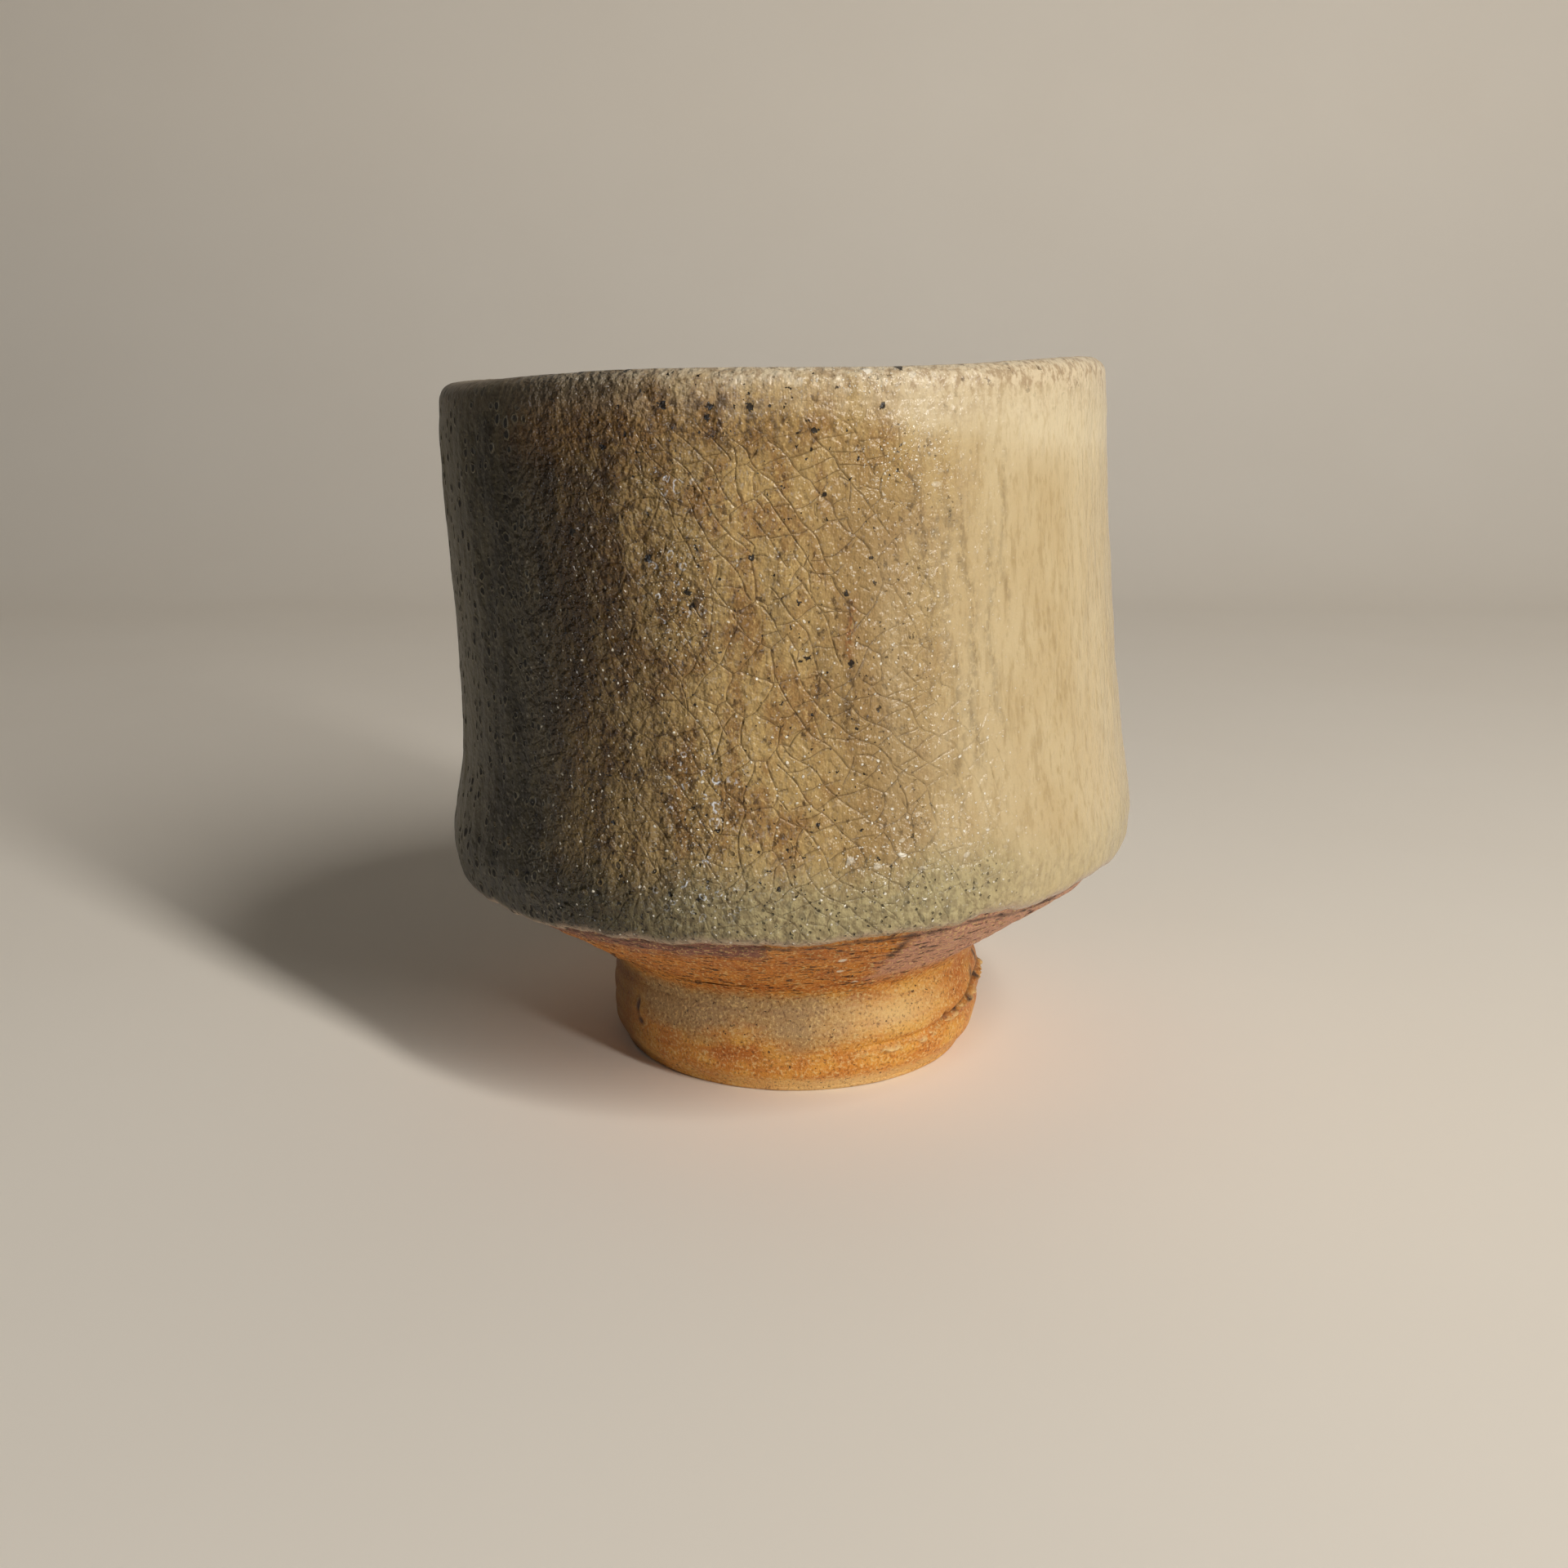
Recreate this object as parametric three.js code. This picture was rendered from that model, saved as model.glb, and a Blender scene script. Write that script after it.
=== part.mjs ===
// A hand-thrown stoneware tea bowl on a thrown foot ring, glazed inside and out.
// Millimetres, +Z up. The origin is on the table, under the middle of the bowl. -Y is the front.

import * as THREE from 'three';

// Bowl: outside of the clay
const rimHeight = 86.3;
const rimRadius = 40.3;
const waistRadius = 40.7; // pull of the wall's curve
const waistLowShare = 0.23; // heights of the wall's two pulls, as shares of the wall
const waistHighShare = 0.61;
const cornerRadius = 43.4;
const cornerHeight = 31;
const cornerRounding = 8.4;
const undersideSlope = 34.5; // degrees
const neckRadius = 23.4;
const seatHeight = 13.3; // where the foot is joined to the bowl

// Bowl: walls and inside
const lipThickness = 3.3;
const wallThickness = 5;
const floorThickness = 5.6;
const floorRadius = 24; // pull of the flat part of the inside
const floorRiseShare = 0.27; // lower pull of the bend from floor to wall
const recessDome = 1.2; // hollow trimmed under the floor, inside the foot
const recessShoulder = 9.3; // radius where that hollow flattens
const recessShoulderRise = 0.84;

// Foot ring
const footBaseRadius = 23;
const footBellyRadius = 25.4; // pull of the rounded side
const footBellyLowShare = 0.27; // heights of its two pulls, as shares of the foot
const footBellyHighShare = 0.68;
const footInnerRadius = 16.5;
const footInnerTaper = 1; // the recess narrows upwards by this much
const footEdge = 0.7; // softened edges of the base

// Throwing groove round the foot, deepest at the front right
const grooveHeight = 5.6;
const grooveClimb = 1.6; // rise in one turn
const grooveDepth = 0.55;
const grooveWidth = 1.3;
const grooveAngle = -40; // degrees, where it is deepest

// Slip and glaze coats
const slipThickness = 0.5;
const seam = 0.1; // modelling clearance between coats
const outerGlazeThickness = 0.6;
const innerGlazeThickness = 0.5;
const rimGlazeThickness = 0.35;
const rimBand = 3; // depth of the pale band at the lip
const glazeRoll = 0.95; // thickness of the rolled lower edge
const glazeRollWidth = 1.4;
const glazeEdgeThickness = 0.25;
const glazeLap = 7.4; // how far the glaze runs under the corner, from the foot of the wall
const glazeLapSwing = 1.2; // how much shorter it is where it is shortest
const glazeLapAngle = -35; // degrees, where it is shortest
const glazeLapRipple = 0.35;
const glazeLapRipples = 5;

// What the hand and the kiln did to the thrown form
const setAngle = 1.9; // degrees: the bowl sits askew on its foot, higher at +X
const wallLean = -2.7; // sideways shift of the rim
const rimWave = 0.3; // height of the rim's slow waves
const rimWaves = 4;
const rimWaveAngle = -112; // degrees, a crest
const rimOval = 0.4; // how far the rim is out of round
const rimOvalAngle = 34; // degrees, where it is widest
const cornerSwell = 0.8; // extra fullness of the corner at -X
const cornerSwellDrop = 2; // that fullness lies this far below the corner
const cornerSwellReach = 10.5;
const cornerCut = 0.5; // trimmed away under the corner at +X
const cornerCutDrop = 4.2;
const cornerCutReach = 4.2;
const footSwell = 0.4; // extra fullness of the foot at +X
const footSwellReach = 4.4;
const footShift = 0.46; // place of the foot's axis

// Facets
const segments = 48;
const undersideRows = 4;
const cornerRows = 6;
const wallRows = 9;
const lipRows = 5;
const floorRows = 8;
const footRows = 10;

const degrees = Math.PI / 180;
const fullTurn = 2 * Math.PI;
const recessRadius = footInnerRadius - footInnerTaper;
const point = (r, z) => new THREE.Vector2(r, z);
const bump = (value, centre, width) => Math.exp(-(((value - centre) / width) ** 2));
const { smoothstep, lerp, mapLinear, euclideanModulo } = THREE.MathUtils;

// Pulls of the wall's curve, at a share of the way from the corner to the rim
function waistPull(share) {
  return point(waistRadius, lerp(cornerHeight, rimHeight, share));
}

// Rounding between the straight underside and the foot of the wall
function cornerArc(neck) {
  const slope = undersideSlope * degrees;
  const along = point(Math.cos(slope), Math.sin(slope));
  const corner = point(cornerRadius, cornerHeight);
  const up = waistPull(waistLowShare).sub(corner).normalize();
  const turn = Math.acos(along.dot(up));
  const run = corner.clone().sub(neck).cross(up) / along.cross(up);
  const cut = cornerRounding * Math.tan(turn / 2);
  const start = neck.clone().addScaledVector(along, run - cut);
  const centre = start.add(point(-along.y, along.x).multiplyScalar(cornerRounding));
  const from = slope - Math.PI / 2;
  return new THREE.ArcCurve(centre.x, centre.y, cornerRounding, from, from + turn, false);
}

// Outside of the clay from the neck up to the rounding of the lip
function outsideRows() {
  const neck = point(neckRadius, seatHeight);
  const arc = cornerArc(neck).getPoints(cornerRows);
  const underside = new THREE.LineCurve(neck, arc[0]).getPoints(undersideRows);
  const wall = new THREE.CubicBezierCurve(
    arc[cornerRows],
    waistPull(waistLowShare),
    waistPull(waistHighShare),
    point(rimRadius, rimHeight - rimBand),
  ).getSpacedPoints(wallRows);
  const lipStart = point(rimRadius, rimHeight - lipThickness / 2);
  return [...underside, ...arc.slice(1), ...wall.slice(1), lipStart];
}

// Half-round lip from outside to inside, without its two ends
function lipRowsOver() {
  const radius = lipThickness / 2;
  const arc = new THREE.ArcCurve(rimRadius - radius, rimHeight - radius, radius, 0, Math.PI, false);
  return arc.getPoints(lipRows).slice(1, -1);
}

// Inside of the clay from the lip's rounding down to the axis
function insideRows(outside) {
  const wall = outside.slice(undersideRows + cornerRows);
  const low = wall[0].y;
  const high = wall[wall.length - 1].y;
  const thickness = (z) => mapLinear(z, low, high, wallThickness, lipThickness);
  const down = wall.slice(1).map((p) => point(p.x - thickness(p.y), p.y)).reverse();
  const foot = down[down.length - 1];
  const floor = seatHeight + recessDome + floorThickness;
  const bend = new THREE.CubicBezierCurve(
    foot,
    point(foot.x, lerp(floor, foot.y, floorRiseShare)),
    point(floorRadius, floor),
    point(0, floor),
  ).getSpacedPoints(floorRows);
  return [...down, ...bend.slice(1)];
}

// Unit normals of a run of profile points, to the right of its direction
function normals(rows) {
  return rows.map((_, i) => {
    const before = rows[Math.max(i - 1, 0)];
    const after = rows[Math.min(i + 1, rows.length - 1)];
    const way = after.clone().sub(before).normalize();
    return point(way.y, -way.x);
  });
}

// One face of a coat: rows of the clay moved out along their normals
function coatFace(rows, facing, distance) {
  return rows.map((p, i) => p.clone().addScaledVector(facing[i], distance(i)));
}

// A coat's closed profile: its face at the given thickness, then back along the clay
function coat(rows, facing, thickness) {
  const face = coatFace(rows, facing, (i) => seam + thickness(i));
  const back = coatFace(rows, facing, () => seam).reverse();
  return [...face, ...back, face[0].clone()];
}

// The shaping by hand, shared by every piece: where a point of the thrown form ends up
function shaped(r, z, angle) {
  const left = (1 - Math.cos(angle)) / 2;
  const right = (1 + Math.cos(angle)) / 2;
  const upTheWall = smoothstep(z, cornerHeight, rimHeight);
  const swell = cornerSwell * left * bump(z, cornerHeight - cornerSwellDrop, cornerSwellReach);
  const cut = cornerCut * right * bump(z, cornerHeight - cornerCutDrop, cornerCutReach);
  const oval = rimOval * Math.cos(2 * (angle - rimOvalAngle * degrees)) * upTheWall;
  const foot = footSwell * Math.cos(angle) * bump(z, seatHeight / 2, footSwellReach);
  const radius = r * (1 + (swell - cut + oval) / cornerRadius + foot / footBaseRadius);
  const wave = rimWave * Math.cos(rimWaves * (angle - rimWaveAngle * degrees)) * upTheWall;
  const across = radius * Math.cos(angle);
  const set = Math.tan(setAngle * degrees) * across * smoothstep(z, 0, seatHeight);
  return new THREE.Vector3(across + footShift + wallLean * upTheWall, radius * Math.sin(angle), z + set + wave);
}

// A thrown piece: a closed profile, which may change with the angle, turned about the axis and shaped
function thrown(name, profileAt, colour, roughness) {
  const rows = profileAt(0).length;
  const geometry = new THREE.LatheGeometry(profileAt(0), segments);
  const { position } = geometry.attributes;
  for (let i = 0; i <= segments; i += 1) {
    const angle = ((i % segments) / segments) * fullTurn;
    profileAt(angle).forEach((p, j) => {
      const place = shaped(p.x, p.y, angle);
      position.setXYZ(i * rows + j, place.x, place.y, place.z);
    });
  }
  geometry.computeVertexNormals();
  const material = new THREE.MeshStandardMaterial({ color: colour, roughness, metalness: 0 });
  const mesh = new THREE.Mesh(geometry, material);
  mesh.name = name;
  return mesh;
}

const outside = outsideRows();
const lip = lipRowsOver();
const inside = insideRows(outside);
const cornerEnd = undersideRows + cornerRows; // row at the foot of the wall
const bandRow = cornerEnd + wallRows; // row at the lower edge of the pale band

function bowlBody() {
  const under = [
    point(0, seatHeight + recessDome),
    point(recessShoulder, seatHeight + recessShoulderRise),
    point(recessRadius, seatHeight),
  ];
  const profile = [...under, ...outside, ...lip, ...inside];
  return thrown('bowl_body', () => profile, 0xb0713f, 0.85);
}

function footRing() {
  const top = seatHeight - slipThickness - 2 * seam;
  const side = new THREE.CubicBezierCurve(
    point(footBaseRadius, footEdge),
    point(footBellyRadius, top * footBellyLowShare),
    point(footBellyRadius, top * footBellyHighShare),
    point(neckRadius, top),
  ).getSpacedPoints(footRows);
  const grooved = (p, angle) => {
    const turn = euclideanModulo(angle - grooveAngle * degrees + Math.PI, fullTurn) - Math.PI;
    const height = grooveHeight + (grooveClimb * turn) / fullTurn;
    const depth = (grooveDepth * (1 + Math.cos(turn))) / 2;
    return point(p.x - depth * bump(p.y, height, grooveWidth), p.y);
  };
  const profileAt = (angle) => [
    point(footInnerRadius + footEdge, 0),
    point(footBaseRadius - footEdge, 0),
    ...side.map((p) => grooved(p, angle)),
    point(recessRadius, top),
    point(footInnerRadius, footEdge),
    point(footInnerRadius + footEdge, 0),
  ];
  return thrown('foot_ring', profileAt, 0xc48a48, 0.75);
}

function lutingSlip() {
  const low = seatHeight - slipThickness - seam;
  const high = seatHeight - seam;
  const profile = [
    point(recessRadius, low),
    point(neckRadius, low),
    point(neckRadius, high),
    point(recessRadius, high),
    point(recessRadius, low),
  ];
  return thrown('luting_slip', () => profile, 0x9a6f4a, 0.9);
}

// Point and normal of the outside, a distance down from the foot of the wall
function underCorner(distance, facing) {
  let left = distance;
  let i = cornerEnd;
  while (i > 1 && left > outside[i].distanceTo(outside[i - 1])) {
    left -= outside[i].distanceTo(outside[i - 1]);
    i -= 1;
  }
  const share = left / outside[i].distanceTo(outside[i - 1]);
  return {
    place: outside[i].clone().lerp(outside[i - 1], share),
    normal: facing[i].clone().lerp(facing[i - 1], share).normalize(),
  };
}

// Thickness of the outer glaze at a distance from its rolled lower edge
function outerThickness(run) {
  const edge = (outerGlazeThickness - glazeEdgeThickness) * bump(run, 0, glazeRollWidth / 2);
  const roll = (glazeRoll - outerGlazeThickness) * bump(run, glazeRollWidth, glazeRollWidth);
  return outerGlazeThickness - edge + roll;
}

function outerGlaze() {
  const facing = normals(outside);
  const wall = outside.slice(cornerEnd, bandRow + 1);
  wall[wallRows] = point(wall[wallRows].x, wall[wallRows].y - seam);
  const wallFacing = facing.slice(cornerEnd, bandRow + 1);
  const profileAt = (angle) => {
    const swing = glazeLapSwing * Math.cos(angle - glazeLapAngle * degrees);
    const ripple = glazeLapRipple * Math.sin(glazeLapRipples * angle) * Math.cos(2 * angle);
    const lap = glazeLap - swing + ripple;
    const rolled = [0, glazeRollWidth / 2, glazeRollWidth, glazeRollWidth * 2];
    const above = [1 / 3, 2 / 3].map((share) => lerp(glazeRollWidth * 2, lap, share));
    const runs = [...rolled, ...above];
    const low = runs.map((run) => underCorner(lap - run, facing));
    const places = [...low.map((row) => row.place), ...wall];
    const directions = [...low.map((row) => row.normal), ...wallFacing];
    return coat(places, directions, (i) => outerThickness(i < runs.length ? runs[i] : lap));
  };
  return thrown('outer_glaze', profileAt, 0xb39a66, 0.35);
}

function rimGlaze() {
  const rows = [...outside.slice(bandRow), ...lip, ...inside.slice(0, 2)];
  const facing = normals([outside[bandRow - 1], ...rows, inside[2]]).slice(1, -1);
  const profile = coat(rows, facing, () => rimGlazeThickness);
  return thrown('rim_glaze', () => profile, 0xb8a888, 0.45);
}

function innerGlaze() {
  const rows = inside.slice(1);
  rows[0] = point(rows[0].x, rows[0].y - seam);
  const facing = normals([inside[0], ...rows]).slice(1);
  facing[facing.length - 1].set(0, 1);
  const back = coatFace(rows, facing, () => seam).reverse();
  const face = coatFace(rows, facing, () => seam + innerGlazeThickness);
  const profile = [...back, ...face];
  return thrown('inner_glaze', () => profile, 0xc0ab7e, 0.3);
}

const teaBowl = new THREE.Group();
teaBowl.add(bowlBody(), footRing(), lutingSlip(), outerGlaze(), rimGlaze(), innerGlaze());

export default teaBowl;
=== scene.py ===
"""Looks of a hand-thrown stoneware tea bowl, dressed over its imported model.

Shapes are worked out in millimetres and put into the meshes in metres. Angles run from +X, counter-clockwise
seen from above, so the front of the bowl is at -90 degrees. Heights are those of the bowl as it was thrown,
before it leaned and was set askew.
"""

import math

import bpy
import numpy as np
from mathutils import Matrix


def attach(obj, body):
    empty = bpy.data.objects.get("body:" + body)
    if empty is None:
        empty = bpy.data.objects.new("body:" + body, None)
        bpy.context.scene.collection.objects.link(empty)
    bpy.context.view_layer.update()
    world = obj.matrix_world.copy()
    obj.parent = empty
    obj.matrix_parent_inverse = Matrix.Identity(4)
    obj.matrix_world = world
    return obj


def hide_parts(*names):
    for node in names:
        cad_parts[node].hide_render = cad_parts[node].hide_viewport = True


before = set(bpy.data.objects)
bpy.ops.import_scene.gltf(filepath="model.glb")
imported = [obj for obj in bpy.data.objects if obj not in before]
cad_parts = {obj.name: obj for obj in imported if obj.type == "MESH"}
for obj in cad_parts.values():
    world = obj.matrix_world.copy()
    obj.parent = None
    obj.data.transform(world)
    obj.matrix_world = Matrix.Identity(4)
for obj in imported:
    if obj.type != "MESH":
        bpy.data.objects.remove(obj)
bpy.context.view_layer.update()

METRES = 0.001

# The clay of the bowl, as in its solids
RIM_HEIGHT = 86.3
RIM_RADIUS = 40.3
WAIST_RADIUS = 40.7
WAIST_LOW_SHARE = 0.23
WAIST_HIGH_SHARE = 0.61
CORNER_RADIUS = 43.4
CORNER_HEIGHT = 31.0
CORNER_ROUNDING = 8.4
UNDERSIDE_SLOPE = math.radians(34.5)
NECK_RADIUS = 23.4
SEAT_HEIGHT = 13.3
LIP_THICKNESS = 3.3
WALL_THICKNESS = 5.0
FLOOR_THICKNESS = 5.6
FLOOR_RADIUS = 24.0
FLOOR_RISE_SHARE = 0.27
RECESS_DOME = 1.2

# The foot ring
FOOT_BASE_RADIUS = 23.0
FOOT_BELLY_RADIUS = 25.4
FOOT_BELLY_LOW_SHARE = 0.27
FOOT_BELLY_HIGH_SHARE = 0.68
FOOT_INNER_RADIUS = 16.5
FOOT_INNER_TAPER = 1.0
FOOT_EDGE = 0.7
GROOVE_HEIGHT = 5.6
GROOVE_CLIMB = 1.6
GROOVE_DEPTH = 0.55
GROOVE_WIDTH = 1.0
GROOVE_ANGLE = math.radians(-40)

# Slip and glaze coats
SLIP_THICKNESS = 0.5
FILLET_REACH = 2.4
SEAM = 0.1
OUTER_GLAZE = 0.6
INNER_GLAZE = 0.5
RIM_GLAZE = 0.35
RIM_BAND = 3.0
SEAM_DIVE = 0.4
SEAM_DROP = 0.15
GLAZE_ROLL = 0.95
GLAZE_ROLL_WIDTH = 1.4
GLAZE_EDGE = 0.25
GLAZE_LAP = 7.4
GLAZE_LAP_SWING = 1.2
GLAZE_LAP_ANGLE = math.radians(-35)
GLAZE_LAP_RIPPLE = 0.35

# What the hand and the kiln did to the thrown form
SET_SLOPE = math.tan(math.radians(1.9))
WALL_LEAN = -2.7
RIM_WAVE = 0.3
RIM_WAVES = 4
RIM_WAVE_ANGLE = math.radians(-112)
RIM_OVAL = 0.4
RIM_OVAL_ANGLE = math.radians(34)
CORNER_SWELL = 0.8
CORNER_SWELL_DROP = 2.0
CORNER_SWELL_REACH = 10.5
CORNER_CUT = 0.5
CORNER_CUT_DROP = 4.2
CORNER_CUT_REACH = 4.2
FOOT_SWELL = 0.4
FOOT_SWELL_REACH = 4.4
FOOT_SHIFT = 0.46

FRONT = math.radians(-90)

# Mean radii on which marks and relief are laid out, and how many waves make up a relief
UNDER_RADIUS = 38.0
TEAR_RADIUS = 34.0
FOOT_SIDE_RADIUS = 25.0
SLIP_RADIUS = 24.0
WAVE_COUNT = 28

# Distances that stand for far from the edge of the glaze
FAR_ABOVE_EDGE = 40.0
FAR_BELOW_EDGE = 99.0

RECESS_RADIUS = FOOT_INNER_RADIUS - FOOT_INNER_TAPER
FOOT_TOP = SEAT_HEIGHT - SLIP_THICKNESS - 2 * SEAM


# Curves and relief

def smooth(value, low, high):
    """Rises from 0 at low to 1 at high along a cubic that is flat at both ends."""
    t = np.clip((value - low) / (high - low), 0, 1)
    return t * t * (3 - 2 * t)


def span(value, first_low, first_high, second_low, second_high):
    """Product of two smooth steps, for a mark that ends on both sides."""
    return smooth(value, first_low, first_high) * smooth(value, second_low, second_high)


def bump(value, centre, width):
    """Bell curve of height 1."""
    return np.exp(-(((value - centre) / width) ** 2))


def bezier(start, first_pull, second_pull, end, count):
    """Cubic curve from start to end, drawn by two pulls."""
    t = np.linspace(0, 1, count)[:, None]
    pulls = 3 * t * (1 - t) ** 2 * np.array(first_pull) + 3 * t * t * (1 - t) * np.array(second_pull)
    return (1 - t) ** 3 * np.array(start) + pulls + t**3 * np.array(end)


def turn_from(angle, middle):
    """Angle measured from a middle one, between minus and plus half a turn."""
    return (angle - middle + math.pi) % math.tau - math.pi


def waves(angle, height, across, up, seed, radius=RIM_RADIUS):
    """Random relief of about unit height: a sum of cosines whose waves are about `across` long round the pot
    and `up` long up it. Each has a whole number of waves in a turn, so the relief closes on itself."""
    chance = np.random.default_rng(seed)
    turns = np.rint(chance.normal(0, math.tau * radius / across, WAVE_COUNT))
    rise = chance.normal(0, math.tau / up, WAVE_COUNT)
    phase = chance.uniform(0, math.tau, WAVE_COUNT)
    total = np.zeros(np.broadcast(angle, height).shape)
    for turn, climb, start in zip(turns, rise, phase):
        total += np.cos(turn * angle + climb * height + start)
    return total / math.sqrt(WAVE_COUNT / 2)


def patch(angle, height, degrees, at_height, wide, tall, radius=RIM_RADIUS):
    """Bell-shaped patch of height 1 on the wall: half-width and half-height in millimetres."""
    across = turn_from(angle, math.radians(degrees)) * radius
    return np.exp(-((across / wide) ** 2) - ((height - at_height) / tall) ** 2)


def patches(angle, height, spots, radius=RIM_RADIUS):
    """Sum of patches, each given by its degrees round, height, half-width and half-height."""
    return sum(patch(angle, height, *spot, radius) for spot in spots)


def streak(angle, height, degrees, top, bottom, wide):
    """Upright mark of height 1 between two heights, with soft ends and sides and a slight wander."""
    wander = 0.5 * np.sin(height * 0.31 + degrees) + 0.25 * np.sin(height * 0.83)
    across = turn_from(angle, math.radians(degrees)) * RIM_RADIUS - wander
    ends = smooth(height, bottom - 3, bottom + 3) * (1 - smooth(height, top - 3, top + 3))
    return np.exp(-((across / wide) ** 2)) * ends


# The clay's profile: neck, corner, wall, lip, then down the inside to the middle of the floor

def waist_pull(share):
    """Pull of the wall's curve, at a share of the way from the corner to the rim."""
    return np.array([WAIST_RADIUS, CORNER_HEIGHT + (RIM_HEIGHT - CORNER_HEIGHT) * share])


def clay_profile():
    """Radius, height, distance along and unit normal of the clay, and the distances of its main stations:
    a straight underside, an arc at the corner, a cubic wall, a half-round lip and an inside that keeps a wall
    thickness down to a cubic floor."""
    neck = np.array([NECK_RADIUS, SEAT_HEIGHT])
    along = np.array([math.cos(UNDERSIDE_SLOPE), math.sin(UNDERSIDE_SLOPE)])
    corner = np.array([CORNER_RADIUS, CORNER_HEIGHT])
    up = waist_pull(WAIST_LOW_SHARE) - corner
    up /= np.hypot(*up)
    turn = math.acos(along @ up)
    run = np.linalg.solve(np.stack([along, -up], 1), corner - neck)[0]
    start = neck + along * (run - CORNER_ROUNDING * math.tan(turn / 2))
    centre = start + CORNER_ROUNDING * np.array([-along[1], along[0]])
    facing = UNDERSIDE_SLOPE - math.pi / 2 + np.linspace(0, turn, 200)
    arc = centre + CORNER_ROUNDING * np.stack([np.cos(facing), np.sin(facing)], 1)
    underside = neck + (start - neck) * np.linspace(0, 1, 200)[:, None]
    band = np.array([RIM_RADIUS, RIM_HEIGHT - RIM_BAND])
    wall = bezier(arc[-1], waist_pull(WAIST_LOW_SHARE), waist_pull(WAIST_HIGH_SHARE), band, 600)
    lip_radius = LIP_THICKNESS / 2
    over = np.linspace(0, math.pi, 120)
    lip = np.stack([RIM_RADIUS - lip_radius + lip_radius * np.cos(over),
                    RIM_HEIGHT - lip_radius + lip_radius * np.sin(over)], 1)
    low = arc[-1][1]
    thickness = np.interp(wall[:, 1], [low, lip[0, 1]], [WALL_THICKNESS, LIP_THICKNESS])
    inner = (wall - np.stack([thickness, 0 * thickness], 1))[::-1]
    inner = inner[inner[:, 1] > low + (RIM_HEIGHT - RIM_BAND - low) / 9]
    floor = SEAT_HEIGHT + RECESS_DOME + FLOOR_THICKNESS
    foot = inner[-1]
    rise = floor + (foot[1] - floor) * FLOOR_RISE_SHARE
    bend = bezier(foot, (foot[0], rise), (FLOOR_RADIUS, floor), (0, floor), 400)
    parts = [underside, arc[1:], wall[1:], lip, inner, bend[1:]]
    points = np.concatenate(parts)
    steps = np.hypot(*np.diff(points, axis=0).T)
    distance = np.concatenate([[0], np.cumsum(steps)])
    way = np.gradient(points, axis=0)
    way /= np.hypot(way[:, 0], way[:, 1])[:, None]
    ends = np.cumsum([len(p) for p in parts]) - 1
    names = ("corner_start", "wall_foot", "band_out", "lip_end", "inside_foot", "floor_middle")
    stations = {name: distance[end] for name, end in zip(names, ends)}
    stations["band_in"] = stations["lip_end"] + RIM_BAND - lip_radius
    stations["lip_top"] = stations["lip_end"] - math.pi * lip_radius / 2
    return points[:, 0], points[:, 1], distance, way[:, 1], -way[:, 0], stations


CLAY_R, CLAY_Z, CLAY_RUN, CLAY_OUT, CLAY_UP, STATION = clay_profile()


def on_clay(run, lift):
    """Radius and height at a distance along the clay's profile, lifted off it along its normal."""
    r = np.interp(run, CLAY_RUN, CLAY_R) + lift * np.interp(run, CLAY_RUN, CLAY_OUT)
    z = np.interp(run, CLAY_RUN, CLAY_Z) + lift * np.interp(run, CLAY_RUN, CLAY_UP)
    return r, z


def shaped(r, z, angle):
    """Where a point of the thrown form ends up: swollen and trimmed at the corner, out of round at the rim,
    leaning above the corner and set askew on a level foot."""
    left = (1 - np.cos(angle)) / 2
    right = (1 + np.cos(angle)) / 2
    up_the_wall = smooth(z, CORNER_HEIGHT, RIM_HEIGHT)
    swell = CORNER_SWELL * left * bump(z, CORNER_HEIGHT - CORNER_SWELL_DROP, CORNER_SWELL_REACH)
    cut = CORNER_CUT * right * bump(z, CORNER_HEIGHT - CORNER_CUT_DROP, CORNER_CUT_REACH)
    oval = RIM_OVAL * np.cos(2 * (angle - RIM_OVAL_ANGLE)) * up_the_wall
    foot = FOOT_SWELL * np.cos(angle) * bump(z, SEAT_HEIGHT / 2, FOOT_SWELL_REACH)
    radius = r * (1 + (swell - cut + oval) / CORNER_RADIUS + foot / FOOT_BASE_RADIUS)
    wave = RIM_WAVE * np.cos(RIM_WAVES * (angle - RIM_WAVE_ANGLE)) * up_the_wall
    across = radius * np.cos(angle)
    height = z + SET_SLOPE * across * smooth(z, 0, SEAT_HEIGHT) + wave
    return np.stack([across + FOOT_SHIFT + WALL_LEAN * up_the_wall, radius * np.sin(angle), height], -1)


def angles_round(count, crowding=0.45):
    """Angles once round the pot from the back, closer together at the front."""
    turn = np.linspace(-math.pi, math.pi, count, endpoint=False)
    return FRONT + turn - crowding * np.sin(turn)


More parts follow.
